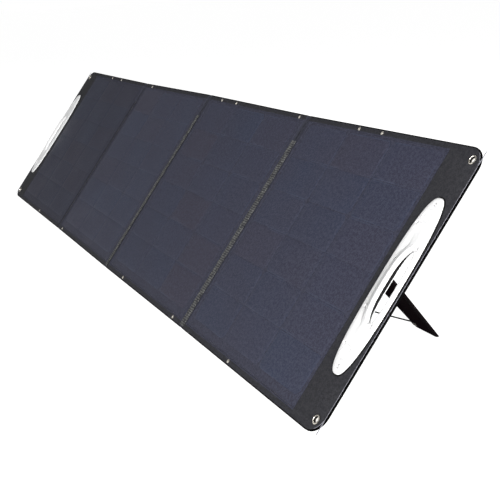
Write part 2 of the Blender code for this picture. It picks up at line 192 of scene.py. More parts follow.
class Finish:
    # one material and the nodes that feed its shader
    def __init__(self, name, roughness=0.5, metallic=0.0, specular=0.5, **more):
        self.material = bpy.data.materials.new(name)
        self.material.use_nodes = True
        self.tree = self.material.node_tree
        self.shader = self.tree.nodes["Principled BSDF"]
        self.set("Roughness", roughness)
        self.set("Metallic", metallic)
        self.set("Specular IOR Level", specular)
        for socket, value in more.items():
            self.set(socket.replace("_", " "), value)

    def set(self, socket, value):
        if isinstance(value, Value):
            self.tree.links.new(value.socket, self.shader.inputs[socket])
        else:
            self.shader.inputs[socket].default_value = value

    def add(self, kind, settings, inputs, out=0):
        node = self.tree.nodes.new("ShaderNode" + kind)
        for key, value in settings.items():
            if key == "stops":
                ramp = node.color_ramp
                while len(ramp.elements) < len(value):
                    ramp.elements.new(0.5)
                for stop, (spot, color) in zip(ramp.elements, value):
                    stop.position, stop.color = spot, (*color, 1)
            else:
                setattr(node, key, value)
        for key, value in inputs.items():
            if isinstance(value, Value):
                self.tree.links.new(value.socket, node.inputs[key])
            else:
                node.inputs[key].default_value = value
        return Value(self.tree, node.outputs[out])

    def coords(self, kind="Object"):
        return self.add("TexCoord", {}, {}, kind)

    def axes(self, coords):
        return [self.add("SeparateXYZ", {}, {"Vector": coords}, axis) for axis in "XYZ"]

    def noise(self, coords, scale, detail=2.0, rough=0.5):
        inputs = {"Vector": coords, "Scale": scale, "Detail": detail, "Roughness": rough}
        return self.add("TexNoise", {}, inputs, "Fac")

    def mix(self, share, first, second):
        made = self.tree.nodes.new("ShaderNodeMix")
        made.data_type = "RGBA"
        slots = [made.inputs["Factor"], *[slot for slot in made.inputs if slot.type == "RGBA"]]
        for slot, item in zip(slots, (share, first, second)):
            if isinstance(item, Value):
                self.tree.links.new(item.socket, slot)
            else:
                slot.default_value = (*item, 1) if isinstance(item, tuple) else item
        return Value(self.tree, next(slot for slot in made.outputs if slot.type == "RGBA"))

    def bump(self, height, depth, strength=1.0, under=None):
        inputs = {"Height": height, "Distance": depth, "Strength": strength}
        if under:
            inputs["Normal"] = under
        return self.add("Bump", {}, inputs, "Normal")


# finishes

foldWidth = 0.018  # of the cloth that joins two panels
cells = {
    "width": 0.15875,
    "height": 0.0794,
    "columnPitch": 0.163,
    "rowPitch": 0.0812,
    "firstColumn": 0.0292,  # outward from the fold
    "firstRow": 0.0346,
    "chamfer": 0.0085,
    "columns": 3,
    "rows": 6,
    "ribbons": 10,
    "emboss": 0.0022,  # pitch of the film's dots
}


def solarFilm(name, seed, shade):
    # embossed film over half-cut cells, three columns of six
    f = Finish("solar_film_" + name, roughness=0.5, specular=0.12)
    place = f.coords()
    x, y, _ = f.axes(place)
    across = (x.size() - cells["firstColumn"]) / cells["columnPitch"]
    along = (y - cells["firstRow"]) / cells["rowPitch"]
    column, row = across.floor(), along.floor()
    inX = (across - column) * cells["columnPitch"]
    inY = (along - row) * cells["rowPitch"]
    edgeX = inX.least(cells["width"] - inX)
    edgeY = inY.least(cells["height"] - inY)
    odd = row - (row * 0.5).floor() * 2
    outerEnd = inY * (1 - odd) + (cells["height"] - inY) * odd
    corner = edgeX + outerEnd - cells["chamfer"]
    edge = edgeX.least(edgeY).least(corner * 0.7)
    onGrid = ((column + 0.5) * 10).held() * ((cells["columns"] - column) * 10 - 5).held()
    onGrid = onGrid * ((row + 0.5) * 10).held() * ((cells["rows"] - row) * 10 - 5).held()
    inside = (edge / 0.0006).held() * onGrid
    cellSpot = f.add("CombineXYZ", {}, {"X": column + seed * 7, "Y": row, "Z": seed})
    chance = f.add("TexWhiteNoise", {"noise_dimensions": "3D"}, {"Vector": cellSpot}, "Value")
    tint = f.add("ValToRGB", {"stops": tintStops}, {"Fac": chance})
    cloud = f.noise(place, 7.0, 2.0)
    tint = f.mix((cloud * 2.2 - 0.75).held() * 0.6, tint, filmColors["warm"])
    bars = ((inX * (2 * math.pi * cells["ribbons"] / cells["width"])).sine() - 0.985) * 60
    face = f.mix(inside, filmColors["gap"], tint)
    # the cells' rims only catch the light here and there
    rim = (1 - (edge - 0.0010).size() / 0.0011).held() * onGrid
    patch = ((f.noise(place, 9.0, 2.0) - 0.42) * 6).held()
    face = f.mix(rim * patch * 0.8, face, filmColors["rim"])
    face = f.mix(bars.held() * inside * patch * 0.30, face, filmColors["bar"])
    grain = f.noise(place, 330.0, 3.0, 0.7)
    fine = f.noise(place, 150.0, 2.0, 0.6)
    speck = ((grain - 0.5) * 4.6 + (fine - 0.5) * 3.0 + 0.42).held()
    face = f.mix(speck * 0.66, face, filmColors["bright"])
    # shade darkens the whole film of one panel: painted shade, strongest on the far left panel
    f.set("Base Color", f.mix(shade, (0, 0, 0), face))
    pitch = 2 * math.pi / cells["emboss"]
    dots = (x * pitch).sine() * (y * pitch).sine()
    f.set("Normal", f.bump(dots.most(0.0) + grain * 0.6, 0.00012, 0.8))
    f.set("Roughness", 0.44 + (cloud - 0.5) * 0.25 + (1 - inside) * 0.05)
    return f.material


filmColors = {
    "warm": (0.028, 0.025, 0.038),
    "gap": (0.022, 0.022, 0.036),
    "rim": (0.036, 0.052, 0.092),
    "bar": (0.034, 0.042, 0.070),
    "bright": (0.053, 0.056, 0.084),
}
tintStops = [
    (0.0, (0.019, 0.026, 0.051)),
    (0.35, (0.023, 0.023, 0.041)),
    (0.65, (0.018, 0.024, 0.047)),
    (1.0, (0.026, 0.023, 0.038)),
]
# each panel's share of the film's colour: painted shade, lower where a panel should look less lit
filmPaintedShade = {"outer_left": 0.74, "inner_left": 1.0, "inner_right": 0.96, "outer_right": 1.0}


def wovenCloth(name, dark, light, thread, roughness=0.85, specular=0.25, coords="Object", depth=0.00010):
    # plain weave: threads over and under each other, with slubs and a little dust
    f = Finish(name, roughness=roughness, specular=specular)
    place = f.coords(coords)
    x, y, _ = f.axes(place)
    turn = math.pi / thread
    over = (x * turn).sine()
    under = (y * turn).sine()
    weave = (over * under) * 0.5 + 0.5
    slub = f.noise(place, 260.0, 3.0, 0.6)
    cloud = f.noise(place, 9.0, 3.0)
    share = (weave * 0.35 + (slub - 0.5) * 1.3 + (cloud - 0.5) * 0.9 + 0.25).held()
    f.set("Base Color", f.mix(share, dark, light))
    f.set("Normal", f.bump(weave + slub * 0.8, depth, 0.8))
    return f.material


def bordersCloth(name, stripStart):
    # the face's own colour up to the plain charcoal strip that starts out at the end
    f = Finish(name, roughness=0.8, specular=0.17)
    place = f.coords()
    x, y, _ = f.axes(place)
    grain = f.noise(place, 330.0, 3.0, 0.7)
    fine = f.noise(place, 120.0, 2.0, 0.6)
    weave = (x * 3500).sine() * (y * 3500).sine() * 0.5 + 0.5
    speck = ((grain - 0.5) * 3.0 + (fine - 0.5) * 1.8 + (weave - 0.5) * 0.3 + 0.42).held()
    strip = ((x.size() - stripStart) * 1500).held()
    edge = ((0.0125 - y.least(panel["height"] - y)) * 900).held()
    dark = f.mix(strip.most(edge), borderColors["face"], borderColors["strip"])
    light = f.mix(strip.most(edge * 0.8), borderColors["faceLight"], borderColors["stripLight"])
    f.set("Base Color", f.mix(speck * 0.7, dark, light))
    f.set("Normal", f.bump(weave + grain * 0.8, 0.00012, 0.8))
    return f.material


borderColors = {
    "face": (0.022, 0.023, 0.037),
    "faceLight": (0.048, 0.049, 0.071),
    "strip": (0.013, 0.013, 0.016),
    "stripLight": (0.034, 0.034, 0.038),
}


def creaseCloth(name, width, shadowStart):
    # the fold's own cloth, with a ragged dark line down the middle, a painted shadow beside the webbing's
    # edge, and black ends
    f = Finish(name, roughness=0.85, specular=0.15)
    place = f.coords("UV")
    x, y, _ = f.axes(place)
    ragged = f.noise(place, 70.0, 3.0, 0.7)
    grain = f.noise(place, 600.0, 3.0, 0.7)
    off = (x - width / 2).size()
    line = ((0.0012 + (ragged - 0.5) * 0.010 - off) * 1500).held()
    # a dark band down one side beside the webbing's edge: painted shadow of the webbing
    webbingShadow = ((x - width * (shadowStart - (ragged - 0.5) * 0.3)) * 1500).held()
    webbingShadow = webbingShadow * ((0.475 - y) * 500).held()  # the line ends where the webbing does
    ends = ((0.0014 - y.least(panel["height"] - y)) * 3000).held()
    plain = f.mix((grain - 0.15).held(), (0.018, 0.019, 0.028), (0.050, 0.051, 0.070))
    front = f.mix(line.most(webbingShadow).most(ends) * 0.88, plain, (0.003, 0.003, 0.004))
    behind = ((x - 0.5) * 1000).held()  # the back's coordinates start at 1
    back = f.mix(grain, (0.008, 0.008, 0.009), (0.024, 0.024, 0.026))
    f.set("Base Color", f.mix(behind, front, back))
    f.set("Normal", f.bump(grain, 0.0002, 0.8))
    return f.material


def ribbedWebbing(name, dark, light, pitch):
    # ribs run across the strip, and their lighter colour is a painted highlight on the ribs, stronger in
    # random patches
    f = Finish(name, roughness=0.9, specular=0.2)
    place = f.coords("UV")
    x, y, _ = f.axes(place)
    wander = f.noise(place, 60.0, 2.0)
    rib = ((y + (wander - 0.5) * 0.0012) * (2 * math.pi / pitch)).sine() * 0.5 + 0.5
    # random patches where the painted highlight on the ribs is stronger
    worn = f.noise(place, 95.0, 3.0, 0.7)
    fuzz = f.noise(place, 700.0, 2.0)
    share = (rib * 0.60 + (worn - 0.5) * 3.6 + (fuzz - 0.5) * 1.4 + 0.05).held()
    f.set("Base Color", f.mix(share, dark, light))
    f.set("Normal", f.bump(rib + fuzz * 0.4, 0.0003, 0.9))
    return f.material


def mouldedPlastic(name, color, worn, roughness, specular=0.5, grain=900.0, depth=0.00002, **more):
    f = Finish(name, roughness=roughness, specular=specular, **more)
    place = f.coords()
    cloud = f.noise(place, 22.0, 3.0)
    spark = f.noise(place, grain, 2.0)
    f.set("Base Color", f.mix((cloud - 0.35).held() * 0.6, color, worn))
    f.set("Roughness", roughness + (cloud - 0.5) * 0.12 + (spark - 0.5) * 0.06)
    f.set("Normal", f.bump(spark, depth, 0.5))
    return f.material


def platedMetal(name, color, worn, roughness):
    # pressed and plated, with a tarnish in the low spots and fine turning marks
    f = Finish(name, roughness=roughness, metallic=1.0)
    place = f.coords()
    stain = f.noise(place, 180.0, 3.0)
    marks = f.noise(place, 2200.0, 2.0, 0.7)
    f.set("Base Color", f.mix(((stain - 0.45) * 3).held() * 0.6, color, worn))
    f.set("Roughness", roughness + (stain - 0.5) * 0.3)
    f.set("Normal", f.bump(marks, 0.00002, 0.6))
    return f.material


def braidedCord(name, dark, light):
    # sixteen strands crossing each other round a core
    f = Finish(name, roughness=0.8, specular=0.0)
    place = f.coords("UV")
    x, y, _ = f.axes(place)
    lay = 2 * math.pi / 0.0024
    left = (x * (8 * math.pi) + y * lay).sine()
    right = (x * (8 * math.pi) - y * lay).sine()
    strands = left.most(right)
    f.set("Base Color", f.mix((strands * 0.5 + 0.3).held(), dark, light))
    f.set("Normal", f.bump(strands, 0.0002, 0.9))
    return f.material


def pressedBoard(name):
    f = Finish(name, roughness=0.8)
    place = f.coords()
    fibre = f.noise(place, 300.0, 5.0, 0.7)
    f.set("Base Color", f.mix(fibre, (0.20, 0.18, 0.14), (0.34, 0.31, 0.26)))
    f.set("Normal", f.bump(fibre, 0.0001, 0.7))
    return f.material


finish = {
    "outerFace": bordersCloth("outer_face_cloth", 0.5228),
    "innerFace": bordersCloth("inner_face_cloth", 0.7),
    "back": wovenCloth("backing_cloth", (0.008, 0.008, 0.009), (0.026, 0.026, 0.028), 0.0011),
    "band": wovenCloth("edge_tape", (0.001, 0.001, 0.001), (0.003, 0.003, 0.003), 0.0007, specular=0.0),
    # pale grey for the painted highlight along the end edge
    "edgeHighlight": wovenCloth("painted_edge_highlight", (0.10, 0.10, 0.12), (0.20, 0.20, 0.22), 0.0007),
    "leg": wovenCloth("leg_cloth", (0.003, 0.002, 0.0025), (0.0060, 0.0042, 0.0048), 0.0010, specular=0.0),
    "tape": wovenCloth("leg_tape", (0.003, 0.003, 0.003), (0.013, 0.012, 0.013), 0.0010, coords="UV"),
    "crease": creaseCloth("fold_cloth", foldWidth, 0.84),
    # the left fold's cloth, with a wider painted shadow beside its narrower webbing
    "darkCrease": creaseCloth("dark_fold_cloth", foldWidth, 0.52),
    "webbing": ribbedWebbing("fold_webbing", (0.026, 0.026, 0.030), (0.118, 0.120, 0.116), 0.0052),
    "thinWebbing": ribbedWebbing("thin_webbing", (0.026, 0.026, 0.030), (0.112, 0.114, 0.108), 0.0052),
    # the same webbing, darker for the far left fold: painted shade
    "shadedWebbing": ribbedWebbing("shaded_webbing", (0.020, 0.020, 0.030), (0.062, 0.062, 0.076), 0.0052),
    "white": mouldedPlastic("white_moulding", (0.70, 0.70, 0.70), (0.67, 0.67, 0.675), 0.35,
                            Coat_Weight=0.1),
    # near-black stand-in for shade: painted shadow round the handle plate, painted shade in the hand hole and
    # eyelets
    "shadowBlack": mouldedPlastic("painted_shadow_black", (0.003, 0.003, 0.003), (0.006, 0.006, 0.006), 0.7,
                             specular=0.15),
    "housing": mouldedPlastic("black_housing", (0.012, 0.012, 0.013), (0.022, 0.022, 0.023), 0.5,
                              depth=0.00008),
    "nickel": platedMetal("plated_ring", (0.78, 0.74, 0.67), (0.42, 0.37, 0.30), 0.26),
    "eyelet": platedMetal("black_eyelet", (0.055, 0.050, 0.045), (0.025, 0.022, 0.020), 0.45),
    "screw": platedMetal("screw_steel", (0.80, 0.80, 0.80), (0.52, 0.52, 0.52), 0.30),
    "cord": braidedCord("braided_cord", (0.001, 0.001, 0.001), (0.006, 0.006, 0.006)),
    "thread": wovenCloth("black_thread", (0.004, 0.004, 0.004), (0.016, 0.016, 0.017), 0.0004),
    "board": pressedBoard("core_board"),
}
print("finishes made")


# mesh tools

def loft(rings, cap=True, closed=False, loop=True):
    # faces between rings of points; closed joins the last ring to the first
    count = len(rings[0])
    points = [p for ring in rings for p in ring]
    faces = []
    for i in range(len(rings) if closed else len(rings) - 1):
        a, b = i * count, (i + 1) % len(rings) * count
        for j in range(count if loop else count - 1):
            k = (j + 1) % count
            faces.append((a + j, a + k, b + k, b + j))
    if cap and not closed:
        faces.append(tuple(range(count))[::-1])
        faces.append(tuple(range(len(points) - count, len(points))))
    return points, faces


def meshFrom(shapes):
    bm = bmesh.new()
    for points, faces in shapes:
        made = [bm.verts.new(p) for p in points]
        for face in faces:
            bm.faces.new([made[i] for i in face])
    bmesh.ops.recalc_face_normals(bm, faces=bm.faces)
    return bm


def piece(name, shapes, look, place, body=None, stands=(), sharp=35, uv=None):
    # a finished object in the frame's own place; uv gives each point its cloth coordinates
    bm = meshFrom(shapes)
    mesh = bpy.data.meshes.new(name)
    bm.to_mesh(mesh)
    bm.free()
    made = bpy.data.objects.new(name, mesh)
    bpy.context.scene.collection.objects.link(made)
    if look:
        mesh.materials.append(finish[look] if isinstance(look, str) else look)
    if uv:
        layer = mesh.uv_layers.new(name="UVMap")
        for corner in mesh.loops:
            layer.data[corner.index].uv = uv[corner.vertex_index]
    smooth(mesh, sharp)
    made.matrix_world = place
    settle(made, body, stands)
    return made


def settle(made, body=None, stands=()):
    # what the piece rides on, and which nodes it stands for
    if body:
        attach(made, body)
    if stands:
        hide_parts(*stands)


def smooth(mesh, sharp):
    mesh.shade_smooth()
    mesh.set_sharp_from_angle(angle=math.radians(sharp))


def applyAll(made, sharp=35):
    # turns modifiers into the mesh itself
    graph = bpy.context.evaluated_depsgraph_get()
    mesh = bpy.data.meshes.new_from_object(made.evaluated_get(graph))
    made.modifiers.clear()
    made.data = mesh
    smooth(mesh, sharp)


def carve(made, shapes, operation="DIFFERENCE", sharp=35):
    # cuts or joins closed shapes given in the piece's own frame
    tool = piece("tool", shapes, None, made.matrix_world.copy())
    change = made.modifiers.new("carve", "BOOLEAN")
    change.operation, change.solver, change.object = operation, "EXACT", tool
    applyAll(made, sharp)
    bpy.data.objects.remove(tool)


def roundedBox(x0, x1, y0, y1, nearRadius, farRadius, segments=8):
    # x0 is the end with the near radius, and x1 may be on either side of it
    way = 1 if x1 > x0 else -1
    corners = ((x1, y0, farRadius, -90), (x1, y1, farRadius, 0))
    corners += ((x0, y1, nearRadius, 90), (x0, y0, nearRadius, 180))
    points = []
    for x, y, radius, start in corners:
        cx = x - radius * way if x == x1 else x + radius * way
        cy = y - radius if y == y1 else y + radius
        for step in range(segments + 1):
            turn = math.radians(start + 90 * step / segments)
            points.append((cx + way * radius * math.cos(turn), cy + radius * math.sin(turn)))
    return points


def oval(centre, half, power, inset=0.0, count=144):
    points = []
    for step in range(count):
        turn = 2 * math.pi * step / count
        c, s = math.cos(turn), math.sin(turn)
        x = math.copysign(abs(c) ** (2 / power), c) * (half[0] - inset)
        y = math.copysign(abs(s) ** (2 / power), s) * (half[1] - inset)
        points.append((centre[0] + x, centre[1] + y))
    return points


def level(outline, z):
    return [(x, y, z) for x, y in outline]


def between(first, second, share):
    return [(a + (c - a) * share, b + (d - b) * share) for (a, b), (c, d) in zip(first, second)]


def lathe(centre, profile, count=48):
    # a closed profile of radius and height, turned about the panel's normal
    rings = []
    for step in range(count):
        turn = 2 * math.pi * step / count
        c, s = math.cos(turn), math.sin(turn)
        rings.append([(centre[0] + r * c, centre[1] + r * s, z) for r, z in profile])
    return loft(rings, closed=True)


def turned(centre, profile, count=32):
    # a solid of revolution from its lowest ring to its highest, closed at both ends
    rings = []
    for radius, z in profile:
        rings.append(level(oval(centre, (radius, radius), 2.0, 0, count), z))
    return loft(rings)


def tube(path, radius, facets=12, closed=False):
    # a round tube along a path, with its cross-sections carried along without twist
    points = [Vector(p) for p in path]
    count = len(points)
    rings, normal = [], None
    for i, here in enumerate(points):
        after = points[(i + 1) % count] if closed or i < count - 1 else here
        before = points[i - 1] if closed or i > 0 else here
        along = (after - before).normalized()
        if normal is None:
            normal = along.orthogonal().normalized()
        normal = (normal - along * normal.dot(along)).normalized()
        other = along.cross(normal)
        width = radius(i / (count - 1)) if callable(radius) else radius
        ring = []
        for step in range(facets):
            turn = 2 * math.pi * step / facets
            ring.append(here + normal * (width * math.cos(turn)) + other * (width * math.sin(turn)))
        rings.append(ring)
    return loft(rings, closed=closed)


def tubeCoords(path, facets=12):
    # round the tube, and metres along it
    coords, run = [], 0.0
    for i, here in enumerate(path):
        run += (Vector(here) - Vector(path[i - 1])).length if i else 0.0
        coords += [(step / facets, run) for step in range(facets)]
    return coords


def rounded(path, steps=8):
    # a smooth curve through given points
    ends = [path[0], *path, path[-1]]
    points = []
    for a, b, c, d in zip(ends, ends[1:], ends[2:], ends[3:]):
        a, b, c, d = Vector(a), Vector(b), Vector(c), Vector(d)
        for step in range(steps):
            t = step / steps
            curve = 2 * b + (c - a) * t + (2 * a - 5 * b + 4 * c - d) * t * t
            points.append((curve + (3 * b - a - 3 * c + d) * t * t * t) * 0.5)
    return points + [Vector(path[-1])]


def stitches(path, lift, closed=True, pitch=0.0042, length=0.0028, thread=0.00028):
    # short raised threads along a flat line, one every pitch
    line = [Vector(p) for p in path] + ([Vector(path[0])] if closed else [])
    shapes, spare = [], pitch / 2
    for a, b in zip(line, line[1:]):
        run = (b - a).length
        if run == 0:
            continue
        way = (b - a) / run
        spot = spare
        while spot < run:
            middle = a + way * spot
            cross = Vector((-way.y, way.x))
            rings = []
            for along, wide in ((-0.5, 0.35), (-0.36, 0.9), (0.36, 0.9), (0.5, 0.35)):
                base = middle + way * (along * length)
                ring = []
                for turn in range(5):
                    angle = 2 * math.pi * turn / 5
                    flat = base + cross * (math.cos(angle) * thread * wide)
                    ring.append((flat.x, flat.y, lift + math.sin(angle) * thread * wide))
                rings.append(ring)
            shapes.append(loft(rings))
            spot += pitch
        spare = spot - run
    return shapes


# stay cords, from the panel's back to the kickstand's foot

leg = {
    "fromEnd": 0.305,
    "hinge": 0.335,
    "angle": 77.5,
    "axisDepth": 0.0088,
    "topGap": 0.004,
    "thick": 0.005,
    "topWidth": 0.150,
    "footWidth": 0.0755,
    "corner": 0.006,
    "eyeletFromEdge": 0.0105,
    "eyeletFromFoot": 0.016,
    "tape": 0.030,
    "tapeDepth": 0.0054,
    "tapeHalf": 0.0005,  # half its thickness
    "tapeInset": 0.002,
    "tapeTaper": 0.11,  # it narrows with the leg
}
cord = {
    "radius": 0.0015,
    "fromLeg": 0.095,
    "height": 0.186,
    "startDepth": 0.0071,
    "edgeGap": 0.0022,
    "sag": 0.004,
    "points": 40,
    "behindLeg": 0.0030,  # the loop's distance off the board
    "toggle": 0.0027,  # its radius
    "toggleOff": 0.0030,  # outward from the cord
    "toggleTop": 0.0050,  # above the eyelet
}
legX = panel["outerWidth"] - leg["fromEnd"]
legPlaces = {}
for label, side in sides.items():
    swing = Matrix.Rotation(math.radians(leg["angle"]), 4, "X")
    hinge = Matrix.Translation((side * legX, leg["hinge"], -leg["axisDepth"]))
    legPlaces[label] = places["outer_" + label] @ hinge @ swing


def legReach(label, x, z):
    # how far down the leg its foot meets the ground, at a place across it
    place = legPlaces[label].to_3x3()
    drop = legPlaces[label].translation.z + x * place.col[0].z + z * place.col[2].z
    return drop / place.col[1].z


def legEdge(label, along):
    # half the leg's width at a distance from its hinge
    share = along / legReach(label, 0, 0)
    return (leg["topWidth"] + (leg["footWidth"] - leg["topWidth"]) * share) / 2


def eyeletSpot(label):
    side = sides[label]
    along = legReach(label, 0, 0) - leg["eyeletFromFoot"]
    return Vector((-side * (legEdge(label, along) - leg["eyeletFromEdge"]), -along, 0))


def makeStayCord(label):
    side = sides[label]
    place, body = places["outer_" + label], "outer_" + label
    eyelet = eyeletSpot(label)
    start = place @ Vector((side * (legX - cord["fromLeg"]), cord["height"], -cord["startDepth"]))
    edge = eyelet - Vector((side * (leg["eyeletFromEdge"] + cord["edgeGap"]), 0, 0))
    end = legPlaces[label] @ edge
    path = []
    for step in range(cord["points"] + 1):
        t = step / cord["points"]
        path.append(start.lerp(end, t) - Vector((0, 0, cord["sag"] * 4 * t * (1 - t))))
    length = sum((b - a).length for a, b in zip(path, path[1:]))
    here = Matrix.Identity(4)
    made = piece("tie_cord_" + label, [tube(path, cord["radius"])], "cord", here,
                 stands=["stay_cord_" + label], uv=tubeCoords(path))
    "leg_" + label
    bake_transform(made)
    # the cord's end: through the eyelet, round the board's edge, and a toggle below it
    behind = -leg["thick"] / 2 - cord["behindLeg"]
    turns = [(0.0, 0.0), (0.06, behind * 0.7), (0.35, behind), (0.75, behind), (0.97, behind * 0.75),
             (1.0, 0.0), (1.0, 0.0016)]
    bend = rounded([(edge.x + (eyelet.x - edge.x) * share, eyelet.y, z) for share, z in turns], 6)
    loop = piece("cord_loop_" + label, [tube(bend, cord["radius"] * 0.9)], "cord",
                 legPlaces[label], "leg_" + label, uv=tubeCoords(bend))
    toggleX = edge.x - side * cord["toggleOff"]
    ends = ((0.0, 0.2), (0.0006, 0.75), (0.0022, 1.0), (0.0150, 1.0), (0.0170, 0.8), (0.0180, 0.3))
    rings = []
    for along, wide in ends:
        y = eyelet.y + cord["toggleTop"] - along
        circle = oval((toggleX, -0.0006), (cord["toggle"] * wide,) * 2, 2.0, 0, 20)
        rings.append([(x, y, z) for x, z in circle])
    toggle = piece("cord_toggle_" + label, [loft(rings)], "housing", legPlaces[label],
                   "leg_" + label)


for label in sides:
    makeStayCord(label)
print("cords made")


# panels

cover = {"top": 0.0, "under": -0.0009, "weld": 0.0035, "windowCorner": 0.003}
handle = {
    "centre": 0.0415,
    "half": (0.0342, 0.1685),
    "power": 2.6,
    "holeCentre": 0.0345,
    "holeHalf": (0.0155, 0.0700),
    "holePower": 2.8,
    "wall": 0.0022,
    "gap": 0.0003,
}
grommet = {"inset": 0.0235, "hole": 0.0056, "barrel": 0.0062, "flange": 0.0084, "gap": 0.0003}


def panelEnd(name):
    # outward distance of the panel's far edge
    return panel["outerWidth"] if name.startswith("outer") else panel["innerWidth"] - panel["foldGap"] / 2


def panelSide(name):
    return sides[name.split("_")[1]]


def panelOutline(name, inset=0.0):
    outer = name.startswith("outer")
    side, near = panelSide(name), panel["foldGap"] / 2
    far = panel["outerCorner"] if outer else panel["innerCorner"]
    x0, x1 = side * (near + inset), side * (panelEnd(name) - inset)
    least = 0.0004
    nearRadius, farRadius = max(panel["innerCorner"] - inset, least), max(far - inset, least)
    return roundedBox(x0, x1, inset, panel["height"] - inset, nearRadius, farRadius)


def window(name, grow=0.0):
    outer = name.startswith("outer")
    side = panelSide(name)
    border = panel["endBorder"] if outer else panel["sideBorder"] - panel["foldGap"] / 2
    x0, x1 = side * (panel["sideBorder"] - grow), side * (panelEnd(name) - border + grow)
    low, high = panel["edgeBorder"] - grow, panel["height"] - panel["edgeBorder"] + grow
    corner = cover["windowCorner"] + max(grow, 0)
    return roundedBox(x0, x1, low, high, corner, corner)


def handSpot(side):
    return (side * (panel["outerWidth"] - handle["holeCentre"]), panel["height"] / 2)


def grommetSpots(side):
    x = side * (panel["outerWidth"] - grommet["inset"])
    return [(x, grommet["inset"]), (x, panel["height"] - grommet["inset"])]


def sheetHoles(name):
    # the hand hole and the grommet holes, as prisms through every layer
    side = panelSide(name)
    clear = -handle["wall"] - handle["gap"]
    outlines = [oval(handSpot(side), handle["holeHalf"], handle["holePower"], clear, 96)]
    radius = grommet["barrel"] + grommet["gap"]
    outlines += [oval(spot, (radius, radius), 2.0, 0, 32) for spot in grommetSpots(side)]
    return [loft([level(line, -0.03), level(line, 0.03)]) for line in outlines]


def makeCovers(name):
    place, outer = places[name], name.startswith("outer")
    rings = [
        level(window(name), cover["under"]),
        level(window(name), -0.0003),
        level(window(name, 0.0004), 0.0001),
        level(window(name, 0.0016), 0.00025),
        level(window(name, 0.0030), 0.0001),
        level(window(name, cover["weld"]), cover["top"]),
        level(panelOutline(name, 0.0008), cover["top"]),
        level(panelOutline(name, 0.0003), -0.0003),
        level(panelOutline(name, 0.0003), cover["under"]),
    ]
    look = "outerFace" if outer else "innerFace"
    front = piece("front_skin_" + name, [loft(rings, closed=True)], look, place)
    backs = [(0.0003, -0.0035), (0.0003, -0.0038), (0.0030, -0.0044)]
    backs += [(0.0060, -panel["thick"]), (0.0080, -panel["thick"])]
    rings = [level(panelOutline(name, inset), z) for inset, z in backs]
    back = piece("back_skin_" + name, [loft(rings)], "back", place)
    for made, node in ((front, "front_cover_"), (back, "back_cover_")):
        if outer:
            carve(made, sheetHoles(name))
        settle(made, name, [node + name])


def cellLines(first, pitch, size, count, low, high, spacing=0.013):
    # grid lines that follow the cells' edges closely and run wide between them
    lines = {low, high}
    for number in range(count):
        start = first + number * pitch
        for edge in (start, start + size):
            lines.update(edge + step for step in (-0.0010, -0.0003, 0.0003, 0.0010))
        parts = round(size / spacing)
        lines.update(start + size * part / parts for part in range(1, parts))
    return sorted(line for line in lines if low <= line <= high)


def rampUp(distance, width):
    share = min(max(distance / width, 0.0), 1.0)
    return share * share * (3 - 2 * share)


def cellRise(u, y):
    # 1 on a cell and 0 between cells
    column = (u - cells["firstColumn"]) / cells["columnPitch"]
    row = (y - cells["firstRow"]) / cells["rowPitch"]
    if not (0 <= column < cells["columns"] and 0 <= row < cells["rows"]):
        return 0.0
    inX = column % 1 * cells["columnPitch"]
    inY = row % 1 * cells["rowPitch"]
    edge = min(inX, cells["width"] - inX, inY, cells["height"] - inY)
    return rampUp(edge, 0.0009)


def makeSolarFace(name, seed):
    side, outer = panelSide(name), name.startswith("outer")
    border = panel["endBorder"] if outer else panel["sideBorder"] - panel["foldGap"] / 2
    u0, u1 = panel["sideBorder"] + 0.0003, panelEnd(name) - border - 0.0003
    y0, y1 = panel["edgeBorder"] + 0.0003, panel["height"] - panel["edgeBorder"] - 0.0003
    us = cellLines(cells["firstColumn"], cells["columnPitch"], cells["width"], cells["columns"], u0, u1)
    ys = cellLines(cells["firstRow"], cells["rowPitch"], cells["height"], cells["rows"], y0, y1)
    points, faces = [], []
    for y in ys:
        for u in us:
            calm = rampUp(min(u - u0, u1 - u, y - y0, y1 - y), 0.05)
            wave = noise.noise(Vector((side * u * 6, y * 6, seed * 3.7))) * 0.0009 * calm
            z = wave + cellRise(u, y) * 0.00016 - 0.0001
            points.append((side * u, y, z))
    wide = len(us)
    for row in range(len(ys) - 1):
        for column in range(wide - 1):
            a = row * wide + column
            faces.append((a, a + 1, a + wide + 1, a + wide))
    rim = list(range(wide)) + [r * wide + wide - 1 for r in range(1, len(ys))]
    rim += [(len(ys) - 1) * wide + c for c in range(wide - 2, -1, -1)]
    rim += [r * wide for r in range(len(ys) - 2, 0, -1)]
    low = len(points)
    points += [(points[i][0], points[i][1], cover["under"]) for i in rim]
    for i, here in enumerate(rim):
        j = (i + 1) % len(rim)
        faces.append((here, rim[j], low + j, low + i))
    faces.append(tuple(range(low, low + len(rim)))[::-1])
    piece("solar_face_" + name, [(points, faces)], solarFilm(name, seed, filmPaintedShade[name]), places[name], name,
          stands=["laminate_" + name, "cell_sheet_" + name])


band = {  # (in from the edge, height): a folded tape over the panel's free edges
    "profile": (
        (0.0016, -0.0002), (0.0016, 0.0002), (0.0012, 0.0003), (0.0002, 0.0002), (-0.0001, -0.0001),
        (-0.0003, -0.0007), (-0.0003, -0.0033), (-0.0001, -0.0038), (0.0003, -0.0041),
        (0.0024, -0.0046), (0.0028, -0.0045), (0.0028, -0.0043), (0.0016, -0.0037),
    ),
    "seam": 0.0019,
}


def freeEdges(name, inset):
    # the panel's rim without its folds: one run round the end, or one along each long edge
    side = panelSide(name)
    low, high = inset, panel["height"] - inset
    near = side * panel["foldGap"] / 2
    if name.startswith("outer"):
        ends = panelOutline(name, inset)[:18]
        return [[(near, low), *ends, (near, high)]]
    far = side * panelEnd(name)
    return [[(near, y), (far, y)] for y in (low, high)]


